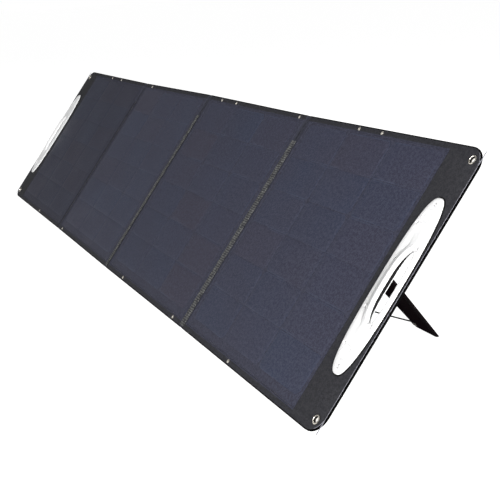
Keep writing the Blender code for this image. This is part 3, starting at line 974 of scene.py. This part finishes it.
def makeEdgeBand(name):
    runs = [freeEdges(name, inset) for inset, z in band["profile"]]
    shapes, rows = [], []
    for number in range(len(runs[0])):
        lines = [run[number] for run in runs]
        rings = []
        for corner in zip(*lines):
            rings.append([(x, y, z) for (x, y), (inset, z) in zip(corner, band["profile"])])
        shapes.append(loft(rings))
        rows += stitches(freeEdges(name, band["seam"])[number], 0.0001, closed=False)
    piece("edge_tape_" + name, shapes, "band", places[name], name, sharp=60)
    piece("edge_seam_" + name, rows, "thread", places[name], name, sharp=180)


def makeEdgeHighlight(label):
    # a pale line just inside the tape, along the sheet's end: a painted highlight for the light on the front
    # edge
    name = "outer_" + label
    side = sides[label]
    path = [(x, y, 0.0001) for x, y in panelOutline(name, 0.0022)[3:15]]
    path = rounded(path, 4)

    def taper(share):
        return 0.0006 * min(1, 0.1 + 12 * min(share, 1 - share))

    piece("end_highlight_" + label, [tube(path, taper, 8)], "edgeHighlight", places[name], name)


rivets = {  # distances along the whole sheet from its left end
    "top": (0.273, 0.371, 0.684, 1.245, 1.333, 1.665, 1.922, 2.006),
    "bottom": (0.361, 0.662, 1.298, 1.646, 1.956),
    "edge": 0.0075,
    "front": ((0.0012, -0.0004), (0.0040, -0.0004), (0.0040, 0.0003), (0.0036, 0.0008),
              (0.0028, 0.0009), (0.0023, 0.0008), (0.0021, 0.0011), (0.0015, 0.0016), (0.0006, 0.0018)),
    "back": ((0.0010, -0.0054), (0.0024, -0.0054), (0.0034, -0.0051), (0.0036, -0.0047), (0.0036, -0.0044)),
}


def makeRivets():
    # each one goes on the panel under it
    half = panel["outerWidth"] + panel["innerWidth"]
    spots = {name: [] for name in places}
    for edge in ("top", "bottom"):
        for along in rivets[edge]:
            x = along - half
            label = "right" if x > 0 else "left"
            kind = "outer_" if abs(x) > panel["innerWidth"] else "inner_"
            away = abs(x) - (panel["innerWidth"] if kind == "outer_" else 0)
            y = rivets["edge"] if edge == "bottom" else panel["height"] - rivets["edge"]
            spots[kind + label].append((sides[label] * away, y))
    for name, found in spots.items():
        shapes = [turned(spot, rivets["front"]) for spot in found]
        shapes += [turned(spot, rivets["back"]) for spot in found]
        piece("rivets_" + name, shapes, "nickel", places[name], name)


for seed, name in enumerate(places, 1):
    makeCovers(name)
    makeSolarFace(name, seed)
    makeEdgeBand(name)
    frame["nodes"]["core_board_" + name].data.materials.clear()
    frame["nodes"]["core_board_" + name].data.materials.append(finish["board"])
for label in sides:
    makeEdgeHighlight(label)
makeRivets()
print("panels made")


# folds

folds = {  # the webbing runs between two shares of the gap
    "left": {"panels": ("inner_left", "outer_left"), "span": (0.02, 0.58), "look": "shadedWebbing",
             "cloth": "darkCrease"},
    "middle": {"panels": ("inner_left", "inner_right"), "span": (-0.04, 1.00), "look": "thinWebbing",
               "cloth": "crease"},
    "right": {"panels": ("inner_right", "outer_right"), "span": (-0.20, 1.20), "look": "webbing",
              "cloth": "crease"},
}
strip = {
    "overlap": (foldWidth - panel["foldGap"]) / 2,
    "low": 0.0002,
    "high": 0.5398,
    "webLow": 0.004,
    "webTop": 0.475,
    "webLift": 0.0008,
    "ribPitch": 0.0052,
}


def edgePoint(name, near, y, z, reach):
    # a point reach beyond the panel's fold edge, near or far, in the frame's place
    side = panelSide(name)
    u = panel["foldGap"] / 2 - reach if near else panelEnd(name) + reach
    return places[name] @ Vector((side * u, y, z))


def acrossFold(fold, y, z, reach, share):
    first, second = folds[fold]["panels"]
    a = edgePoint(first, fold == "middle", y, z, reach)
    b = edgePoint(second, True, y, z, reach)
    return a.lerp(b, share)


def makeFold(fold):
    middle = panel["height"] / 2
    start = acrossFold(fold, middle, 0, 0, 0)
    end = acrossFold(fold, middle, 0, 0, 1)
    # the dark cloth that joins the panels, slightly hollow on both sides
    rows, columns = 90, 10
    rings, coords = [], []
    for row in range(rows + 1):
        y = strip["low"] + (strip["high"] - strip["low"]) * row / rows
        ring = []
        for way, z in ((1, 0.0003), (-1, -0.0040)):
            for step in range(columns + 1):
                share = step / columns if way == 1 else 1 - step / columns
                pucker = noise.noise(Vector((y * 55, share * 2, len(fold)))) * 0.0003
                dip = (0.0009 + pucker) * math.sin(math.pi * share)
                ring.append(acrossFold(fold, y, z - way * dip, -strip["overlap"], share))
                coords.append((share * foldWidth + (way < 0), y))
        rings.append(ring)
    cloth = piece("fold_cloth_" + fold, [loft(rings)], folds[fold]["cloth"], Matrix.Identity(4),
                  stands=["hinge_strip_" + fold], uv=coords)
    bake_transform(cloth)
    # the ribbed strip sewn over it
    rows, columns = 620, 12
    left, right = folds[fold]["span"]
    spread = panel["foldGap"] * (right - left)
    rings, coords = [], []
    for row in range(rows + 1):
        y = strip["webLow"] + (strip["webTop"] - strip["webLow"]) * row / rows
        rib = math.sin(2 * math.pi * y / strip["ribPitch"]) * 0.00018
        wander = noise.noise(Vector((y * 30, 4.2, len(fold)))) * 0.0004
        ring = []
        for lift in (1, 0):
            for step in range(columns + 1):
                share = step / columns if lift else 1 - step / columns
                crown = math.sin(math.pi * share) ** 0.5
                z = strip["webLift"] - 0.0004 + lift * (0.0003 + (0.0004 + rib) * crown)
                shift = wander * (1 if share > 0.5 else -1) / panel["foldGap"]
                ring.append(acrossFold(fold, y, z, 0, left + (right - left) * share + shift))
                coords.append((share * spread, y))
        rings.append(ring)
    webbing = piece("fold_webbing_" + fold, [loft(rings)], folds[fold]["look"], Matrix.Identity(4),
                    uv=coords, sharp=70)
    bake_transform(webbing)


for fold in folds:
    makeFold(fold)
print("folds made")


# handles

plate = {  # (in from the plate's outline, height), then the same in from the hand hole's rim
    "outer": ((0.0, 0.0012), (0.0, 0.0018), (0.0003, 0.0025), (0.0012, 0.0034), (0.0030, 0.0042),
              (0.0065, 0.0047)),
    "across": ((0.3, 0.0049), (0.6, 0.0049)),
    "hole": ((-0.0034, 0.0047), (-0.0014, 0.0044), (-0.0004, 0.0037), (0.0, 0.0026), (0.0, -0.0047),
             (-0.0022, -0.0047), (-0.0022, 0.0003)),
    "halfLength": 0.0805,
    "barEnds": 0.0400,
    "barMiddle": 0.0480,
    "barTop": 0.0139,
    "barHalf": (0.0072, 0.0034),
    "barFoot": 0.0018,
    "barFootHeight": 0.00225,
    "barFlare": 0.0015,
    "barTaper": 0.0030,
    "barLean": 0.36,  # the grip's top slopes down toward the cells
    "disc": (0.130, 0.0430, 0.0135),  # along from the middle, from the end, radius
    "screws": ((0.1550, 0.0426), (0.1163, 0.0604), (0.0465, 0.0614), (0.0728, 0.0213)),
    "recess": (0.0036, 0.0024),
    "rearGap": 0.0049,
    "rear": 0.0025,
}


def plateLine(side, inset, count=144):
    spot = (side * (panel["outerWidth"] - handle["centre"]), panel["height"] / 2)
    return oval(spot, handle["half"], handle["power"], inset, count)


def holeLine(side, inset, count=144):
    return oval(handSpot(side), handle["holeHalf"], handle["holePower"], inset, count)


def screwSpots(side):
    spots = []
    for way in (-1, 1):
        for along, fromEnd in plate["screws"]:
            spots.append((side * (panel["outerWidth"] - fromEnd), panel["height"] / 2 + way * along))
    return spots


def gripBar(side):
    # the arched bar across the hand hole, with feet that flare into the plate
    rings = []
    steps, corners = 72, 28
    for step in range(steps + 1):
        q = 2 * step / steps - 1
        rise = 1 - abs(q) ** 4
        wide, deep = plate["barHalf"]
        deep = plate["barFoot"] + (deep - plate["barFoot"]) * rise
        tip = max(0, abs(q) - 0.94) / 0.06
        wide += plate["barFlare"] * (1 - rise) ** 2 - plate["barTaper"] * tip
        foot = plate["barFootHeight"]
        middle = foot + (plate["barTop"] - plate["barHalf"][1] - foot) * rise
        fromEnd = plate["barEnds"] + (plate["barMiddle"] - plate["barEnds"]) * (1 - q * q)
        y = panel["height"] / 2 + q * plate["halfLength"]
        spot = side * (panel["outerWidth"] - fromEnd)
        outline = oval((spot, middle), (wide, deep), 3.0, 0, corners)
        lean = plate["barLean"] * rise * side
        rings.append([(x, y, z + lean * (x - spot)) for x, z in outline])
    return loft(rings)


def makeHandle(label):
    side, name = sides[label], "outer_" + label
    place = places[name]
    rings = [level(plateLine(side, inset), z) for inset, z in plate["outer"]]
    inner = plateLine(side, plate["outer"][-1][0])
    rim = holeLine(side, plate["hole"][0][0])
    rings += [level(between(inner, rim, share), z) for share, z in plate["across"]]
    rings += [level(holeLine(side, inset), z) for inset, z in plate["hole"]]
    shell = piece("handle_shell_" + label, [loft(rings, closed=True)], "white", place)
    carve(shell, [gripBar(side)], "UNION", 40)
    radius, floor = plate["recess"]
    pits = [turned(spot, ((radius, floor), (radius, 0.0044), (radius + 0.0005, 0.0056)), 32)
            for spot in screwSpots(side)]
    carve(shell, pits, "DIFFERENCE", 40)
    # a shallow raised ring at each end of the plate
    along, fromEnd, wide = plate["disc"]
    for way in (-1, 1):
        spot = (side * (panel["outerWidth"] - fromEnd), panel["height"] / 2 + way * along)
        ring = ((wide - 0.0012, 0.0040), (wide - 0.0012, 0.00486), (wide - 0.0006, 0.00555),
                (wide, 0.00555), (wide + 0.0006, 0.00480), (wide + 0.0006, 0.0040))
        carve(shell, [lathe(spot, ring, 64)], "UNION", 40)
    settle(shell, name, ["handle_front_" + label])
    # a dark rim round the plate shows as a thin line: painted shadow where the plate stands off the cloth
    steps = ((-0.0026, 0.0000), (-0.0026, 0.0004), (-0.0010, 0.0007), (-0.0004, 0.0014), (0.0006, 0.0014),
             (0.0006, 0.0000))
    rings = [level(plateLine(side, inset), z) for inset, z in steps]
    piece("handle_shadow_rim_" + label, [loft(rings, closed=True)], "shadowBlack", place, name)
    # a dark lining over the collar's wall inside the hand hole: painted shade, widest in the middle of the
    # hole
    rings = []
    for inset, top in ((0.0004, True), (0.0004, False), (-0.0001, False), (-0.0001, True)):
        ring = []
        for x, y in holeLine(side, inset):
            share = abs(y - panel["height"] / 2) / handle["holeHalf"][1]
            ring.append((x, y, 0.0012 - 0.0062 * share ** 3 if top else -0.0052))
        rings.append(ring)
    piece("hand_hole_shade_" + label, [loft(rings, closed=True)], "shadowBlack", place, name)
    makeRearPlate(label)
    makeHandleScrews(label)


def makeRearPlate(label):
    side, name = sides[label], "outer_" + label
    near, far = -plate["rearGap"], -plate["rearGap"] - plate["rear"]
    steps = ((0.003, near), (0.003, far + 0.0010), (0.0034, far + 0.0003), (0.0044, far))
    rings = [level(plateLine(side, inset), z) for inset, z in steps]
    steps = ((-0.0012, far), (-0.0003, far + 0.0003), (0.0, far + 0.0010), (0.0, near))
    rings += [level(holeLine(side, inset), z) for inset, z in steps]
    shell = piece("rear_plate_" + label, [loft(rings, closed=True)], "white", places[name])
    bosses = []
    for spot in screwSpots(side):
        profile = ((0.0031, far - 0.0010), (0.0036, far - 0.0007), (0.0038, far), (0.0038, far + 0.0010))
        bosses.append(turned(spot, profile, 32))
    carve(shell, bosses, "UNION", 40)
    tips = [turned(spot, ((0.0017, far - 0.0020), (0.0017, far + 0.0008)), 20) for spot in screwSpots(side)]
    carve(shell, tips, "DIFFERENCE", 40)
    settle(shell, name, ["handle_back_" + label])


def crossHead(spot, seat):
    # a pan head with a shank; the cross is cut afterwards
    profile = ((0.0014, -0.0072), (0.0015, -0.0068), (0.0015, seat), (0.0030, seat),
               (0.0031, seat + 0.0005), (0.0028, seat + 0.0011), (0.0020, seat + 0.0015),
               (0.0009, seat + 0.0017))
    return turned(spot, profile, 32)


def crossCut(spot, top):
    cuts = []
    for wide, tall in ((0.0018, 0.0004), (0.0004, 0.0018)):
        x, y = spot
        line = [(x - wide, y - tall), (x + wide, y - tall), (x + wide, y + tall), (x - wide, y + tall)]
        cuts.append(loft([level(line, top - 0.0009), level(line, top + 0.002)]))
    return cuts


def makeHandleScrews(label):
    side, name = sides[label], "outer_" + label
    seat = plate["recess"][1] + 0.0002
    spots = screwSpots(side)
    made = piece("cross_screws_" + label, [crossHead(spot, seat) for spot in spots], "screw", places[name])
    for index in (0, 1):
        carve(made, [crossCut(spot, seat + 0.0017)[index] for spot in spots])
    settle(made, name, [f"handle_screw_{label}_{number}" for number in range(1, 9)])


def makeGrommets(label):
    side, name = sides[label], "outer_" + label
    hole, barrel, flange = grommet["hole"], grommet["barrel"], grommet["flange"]
    back = -panel["thick"]
    profile = (
        (hole + 0.0003, -0.0006), (hole + 0.0003, 0.0006), (hole + 0.0007, 0.0012), (hole + 0.0014, 0.0014),
        (flange - 0.0006, 0.0011), (flange, 0.0005), (flange, 0.0001), (barrel, 0.0001), (barrel, -0.0006),
    )
    rear = (
        (barrel, back + 0.0010), (barrel, back - 0.0002), (flange, back - 0.0002), (flange, back - 0.0006),
        (flange - 0.0012, back - 0.0011), (hole + 0.0010, back - 0.0013), (hole, back - 0.0008),
        (hole, back + 0.0010),
    )
    # a dark sleeve over the inside of the barrel: painted shade
    wall, low = barrel - 0.0001, back + 0.0008
    sleeve = ((hole, 0.0004), (hole, low), (wall, low), (wall, 0.0004))
    # a dark ring on the cloth round the flange: painted shadow
    near, far = flange - 0.001, flange + 0.0012
    seat = ((near, 0.0000), (far, 0.0000), (far, 0.0002), (near, 0.0002))
    for spot, where in zip(grommetSpots(side), ("bottom", "top")):
        ring = [lathe(spot, profile, 64), lathe(spot, rear, 64)]
        piece(f"eyelet_ring_{label}_{where}", ring, "nickel", places[name], name,
              stands=[f"grommet_{label}_{where}"])
        dark = [lathe(spot, sleeve, 64), lathe(spot, seat, 64)]
        piece(f"eyelet_shade_{label}_{where}", dark, "shadowBlack", places[name], name)


for label in sides:
    makeHandle(label)
    makeGrommets(label)
print("handles made")


# kickstands

def legOutline(label, z, inset=0.0):
    wide, narrow = legEdge(label, leg["topGap"]) - inset, leg["footWidth"] / 2 - inset
    corners = [
        (-wide, -leg["topGap"] - inset),
        (-narrow, -legReach(label, -narrow, z) + inset),
        (narrow, -legReach(label, narrow, z) + inset),
        (wide, -leg["topGap"] - inset),
    ]
    points = []
    for i, corner in enumerate(corners):
        here = Vector(corner)
        before, after = Vector(corners[i - 1]), Vector(corners[(i + 1) % 4])
        radius = max(leg["corner"] - inset, 0.0015)
        a = here + (before - here).normalized() * radius
        b = here + (after - here).normalized() * radius
        for step in range(7):
            t = step / 6
            points.append(a * (1 - t) ** 2 + here * (2 * t * (1 - t)) + b * t * t)
    return [(p.x, p.y) for p in points]


def makeLeg(label):
    body, place = "leg_" + label, legPlaces[label]
    half = leg["thick"] / 2
    steps = ((0.0012, -half), (0.0004, -half + 0.0004), (0.0, -half + 0.0012), (0.0, half - 0.0012),
             (0.0004, half - 0.0004), (0.0012, half))
    rings = [level(legOutline(label, z, inset), z) for inset, z in steps]
    board = piece("stand_board_" + label, [loft(rings)], "leg", place)
    eyelet = eyeletSpot(label)
    carve(board, [turned((eyelet.x, eyelet.y), ((0.0033, -0.01), (0.0033, 0.01)), 32)])
    settle(board, body, ["leg_board_" + label])
    # a bound rim on both faces, and the seam that holds it
    for way, word in ((-1, "back"), (1, "front")):
        face = way * half
        steps = ((0.0013, face - way * 0.0002), (0.0013, face + way * 0.0002), (0.0018, face + way * 0.0004),
                 (0.0056, face + way * 0.0004), (0.0060, face + way * 0.0001), (0.0060, face - way * 0.0002))
        rings = [level(legOutline(label, face, inset), z) for inset, z in steps]
        piece(f"stand_rim_{word}_{label}", [loft(rings, closed=True)], "band", place, body)
    seam = legOutline(label, 0, 0.0042)
    rows = stitches(seam, half + 0.0004) + stitches(seam, -half - 0.0004)
    piece("stand_seam_" + label, rows, "thread", place, body, sharp=180)
    ring = ((0.0022, 0.0020), (0.0024, 0.0034), (0.0032, 0.0040), (0.0046, 0.0037), (0.0052, 0.0030),
            (0.0052, 0.0026), (0.0030, 0.0026), (0.0030, -0.0026), (0.0052, -0.0026), (0.0052, -0.0030),
            (0.0046, -0.0037), (0.0032, -0.0040), (0.0024, -0.0034), (0.0022, -0.0020))
    piece("stand_eyelet_" + label, [lathe((eyelet.x, eyelet.y), ring)], "eyelet", place, body,
          stands=["cord_eyelet_" + label])


def makeLegTape(label):
    # the cloth hinge: flat on the panel's back, round the axis and down the leg's back face
    side, outer = sides[label], "outer_" + label
    toPanel = places[outer].inverted() @ legPlaces[label]
    x = side * legX
    depth = -leg["tapeDepth"]
    top = leg["hinge"] + leg["topGap"] + leg["tape"]
    route = [Vector((x, y, depth)) for y in (top, top - 0.010, top - 0.020, leg["hinge"] + 0.006)]
    route += [toPanel @ Vector((0, -d, -leg["thick"] / 2 - 0.0011)) for d in (0.010, 0.020, 0.030, 0.038)]
    line = rounded([(p.y, p.z, 0) for p in route], 6)
    columns = 30
    rings, coords, run = [], [], 0.0
    for i, here in enumerate(line):
        before, after = line[max(i - 1, 0)], line[min(i + 1, len(line) - 1)]
        way = (after - before).normalized()
        out = Vector((-way.y, way.x)) * leg["tapeHalf"]
        run += (here - before).length
        down = max(0.0, leg["hinge"] - here.x)
        half = leg["topWidth"] / 2 - leg["tapeInset"] - leg["tapeTaper"] * down
        ring = []
        for sign in (1, -1):
            for step in range(columns + 1):
                share = step / columns * sign
                across = (-half if sign == 1 else half) + 2 * half * share
                ring.append((x + across, here.x + out.x * sign, here.y + out.y * sign))
                coords.append((across, run))
        rings.append(ring)
    tape = piece("stand_hinge_" + label, [loft(rings)], "tape", places[outer],
                 stands=["leg_hinge_tape_" + label], uv=coords)
    start = places[outer] @ Vector((x, leg["hinge"] + 0.007, depth))
    end = legPlaces[label] @ Vector((0, -0.010, -leg["thick"] / 2))
    "leg_" + label
    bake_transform(tape)
    "back_skin_" + outer
    "stand_board_" + label
    rows = []
    for y in (top - 0.003, top - 0.024):
        rows += stitches([(x - 0.070, y), (x + 0.070, y)], depth - 0.0006, closed=False)
    piece("hinge_seam_" + label, rows, "thread", places[outer], outer, sharp=180)
    rows = []
    for along in (0.016, 0.034):
        rows += stitches([(-0.066, -along), (0.066, -along)], -leg["thick"] / 2 - 0.0016, closed=False)
    piece("stand_tape_seam_" + label, rows, "thread", legPlaces[label], "leg_" + label,
          sharp=180)


tab = {"half": (0.011, 0.009), "corner": 0.0015, "thick": 0.0012, "seam": (0.009, 0.007)}


def makeAnchorTab(label):
    side, outer = sides[label], "outer_" + label
    x, y = side * (legX - cord["fromLeg"]), cord["height"]
    wide, tall = tab["half"]
    outline = roundedBox(x - wide, x + wide, y - tall, y + tall, tab["corner"], tab["corner"])
    near = -panel["thick"] - 0.0002
    small = [(x + (px - x) * 0.96, y + (py - y) * 0.95) for px, py in outline]
    far = near - tab["thick"]
    rings = [level(outline, near), level(outline, near - 0.0009), level(small, far)]
    piece("anchor_tab_" + label, [loft(rings)], "leg", places[outer], outer,
          stands=["cord_anchor_" + label])
    corners = ((-1, -1), (1, -1), (1, 1), (-1, 1))
    frameLine = [(x + tab["seam"][0] * a, y + tab["seam"][1] * b) for a, b in corners]
    rows = stitches(frameLine, far, pitch=0.0030, length=0.0020)
    for a, b in ((0, 2), (1, 3)):
        rows += stitches([frameLine[a], frameLine[b]], far, False, 0.0030, 0.0020)
    piece("anchor_seam_" + label, rows, "thread", places[outer], outer, sharp=180)


for label in sides:
    makeLeg(label)
    makeLegTape(label)
    makeAnchorTab(label)
print("kickstands made")


# junction box on the left end panel's back

box = {
    "fromEnd": 0.460,
    "height": 0.445,
    "size": (0.092, 0.062),
    "depth": 0.015,
    "corner": 0.006,
    "socket": 0.0060,
    "socketLength": 0.016,
}


def makeJunctionBox():
    name = "outer_left"
    place = places[name]
    x = -(panel["outerWidth"] - box["fromEnd"])
    y = box["height"]
    wide, tall = box["size"][0] / 2, box["size"][1] / 2
    near = -panel["thick"] - 0.0003
    far = near - box["depth"]

    def line(inset):
        radius = box["corner"] - min(inset, 0.004)
        halfWide, halfTall = wide - inset, tall - inset
        return roundedBox(x - halfWide, x + halfWide, y - halfTall, y + halfTall, radius, radius)

    steps = ((-0.0030, near), (-0.0030, near - 0.0014), (-0.0024, near - 0.0018), (0.0, near - 0.0024),
             (0.0, far + 0.0010), (0.0004, far + 0.0002))
    base = piece("box_tray", [loft([level(line(inset), z) for inset, z in steps])], "housing", place)
    inside = loft([level(line(0.003), near - 0.002), level(line(0.003), far - 0.01)])
    carve(base, [inside])
    settle(base, name, ["junction_box_base"])
    top = far - 0.0003
    steps = ((0.0004, top), (0.0, top - 0.0005), (0.0002, top - 0.0014), (0.0012, top - 0.0020),
             (0.0070, top - 0.0020), (0.0076, top - 0.0016), (0.0086, top - 0.0016), (0.0092, top - 0.0022))
    lid = piece("box_lid", [loft([level(line(inset), z) for inset, z in steps])], "housing", place)
    corners = [(x + a * (wide - 0.0052), y + b * (tall - 0.0052)) for a in (-1, 1) for b in (-1, 1)]
    pits = [turned(spot, ((0.0030, top - 0.004), (0.0030, top - 0.0008)), 24) for spot in corners]
    carve(lid, pits)
    ribs = []
    for number in range(-4, 5):
        rx = x + number * 0.006
        outline = roundedBox(rx - 0.001, rx + 0.001, y - 0.014, y + 0.014, 0.0009, 0.0009, 4)
        ribs.append(loft([level(outline, top - 0.0032), level(outline, top - 0.0012)]))
    carve(lid, ribs, "UNION")
    settle(lid, name, ["junction_box_cover"])
    heads = [turned(spot, ((0.0016, top - 0.0024), (0.0025, top - 0.0020), (0.0027, top - 0.0010)), 24)
             for spot in corners]
    screws = piece("box_screws", heads, "screw", place)
    for index in (0, 1):
        cuts = []
        for sx, sy in corners:
            size = (0.0016, 0.0003) if index else (0.0003, 0.0016)
            outline = [(sx - size[0], sy - size[1]), (sx + size[0], sy - size[1]),
                       (sx + size[0], sy + size[1]), (sx - size[0], sy + size[1])]
            cuts.append(loft([level(outline, top - 0.004), level(outline, top - 0.0017)]))
        carve(screws, cuts)
    settle(screws, name)
    # the output socket: a hexagonal nut, a ribbed sleeve and an open end
    middle = near - box["depth"] / 2
    start = y - tall - 0.0003
    nut = [(0.0, 1.05, 6), (0.30, 1.05, 6)]
    sleeve = [(0.30, 0.82, 0), (0.42, 0.82, 0), (0.45, 0.92, 0)]
    grooves = [(0.48 + 0.05 * n, 0.92 - 0.08 * (n % 2), 0) for n in range(10)]
    mouth = [(1.0, 0.88, 0), (1.0, 0.62, 0), (0.55, 0.62, 0)]
    rings = []
    for share, scale, flats in nut + sleeve + grooves + mouth:
        ring = []
        for step in range(48):
            turn = 2 * math.pi * step / 48
            radius = box["socket"] * scale
            if flats:
                flat = 2 * math.pi / flats
                radius *= math.cos(flat / 2) / math.cos(turn % flat - flat / 2) * 1.08
            ring.append((x + radius * math.cos(turn), start - share * box["socketLength"],
                         middle + radius * math.sin(turn)))
        rings.append(ring)
    piece("power_socket", [loft(rings)], "housing", place, name, stands=["output_socket"])
    pin = [[(x + 0.0013 * math.cos(t * math.pi / 8) * w, start - s * box["socketLength"],
             middle + 0.0013 * math.sin(t * math.pi / 8) * w) for t in range(16)]
           for s, w in ((0.60, 1.0), (0.90, 1.0), (0.94, 0.5))]
    piece("socket_pin", [loft(pin)], "nickel", place, name)


makeJunctionBox()
print("junction box made")


# floor and light

studio = {
    "floor": 60.0,
    "floorColor": (0.42, 0.42, 0.42),
    "floorGlow": 0.86,
    "sky": 0.30,
    "lights": (
        ("key", (4.2, -1.15, 1.2), 1.2, 255.0),
        ("far", (-1.4, -3.0, 2.2), 1.5, 34.0),
        ("rear", (-1.5, 3.4, 2.8), 2.5, 60.0),
    ),
}


def makeStudio(lowest):
    size = studio["floor"]
    mesh = bpy.data.meshes.new("floor")
    corners = [(-size, -size, 0), (size, -size, 0), (size, size, 0), (-size, size, 0)]
    mesh.from_pydata(corners, [], [(0, 1, 2, 3)])
    floor = bpy.data.objects.new("floor", mesh)
    bpy.context.scene.collection.objects.link(floor)
    floor.location.z = lowest
    paint = Finish("floor_paint", roughness=0.9, specular=0.1)
    paint.set("Base Color", (*studio["floorColor"], 1))
    paint.set("Emission Color", (1, 1, 1, 1))
    paint.set("Emission Strength", studio["floorGlow"])
    mesh.materials.append(paint.material)
    # a far white wall that only the camera sees
    turns = [2 * math.pi * step / 64 for step in range(64)]
    circle = [(size * 0.9 * math.cos(turn), size * 0.9 * math.sin(turn)) for turn in turns]
    paper = Finish("backdrop", roughness=1.0, specular=0.0, Emission_Strength=1.0)
    paper.set("Base Color", (0, 0, 0, 1))
    paper.set("Emission Color", (1, 1, 1, 1))
    wall = piece("backdrop", [loft([level(circle, lowest), level(circle, size)], cap=False)],
                 paper.material, Matrix.Identity(4))
    wall.visible_diffuse = wall.visible_glossy = wall.visible_shadow = False
    world = bpy.data.worlds.new("studio")
    world.use_nodes = True
    world.node_tree.nodes["Background"].inputs["Color"].default_value = (1, 1, 1, 1)
    world.node_tree.nodes["Background"].inputs["Strength"].default_value = studio["sky"]
    bpy.context.scene.world = world
    for name, spot, wide, power in studio["lights"]:
        lamp = bpy.data.lights.new(name, "AREA")
        lamp.shape, lamp.size, lamp.energy = "DISK", wide, power
        made = bpy.data.objects.new(name, lamp)
        bpy.context.scene.collection.objects.link(made)
        made.location = spot
        aim = Vector((0, 0, 0.2)) - Vector(spot)
        made.rotation_euler = aim.to_track_quat("-Z", "Y").to_euler()
    bpy.context.scene.view_settings.view_transform = "Standard"


bpy.context.view_layer.update()
makeStudio(cadBox[0].z)
print("studio made")
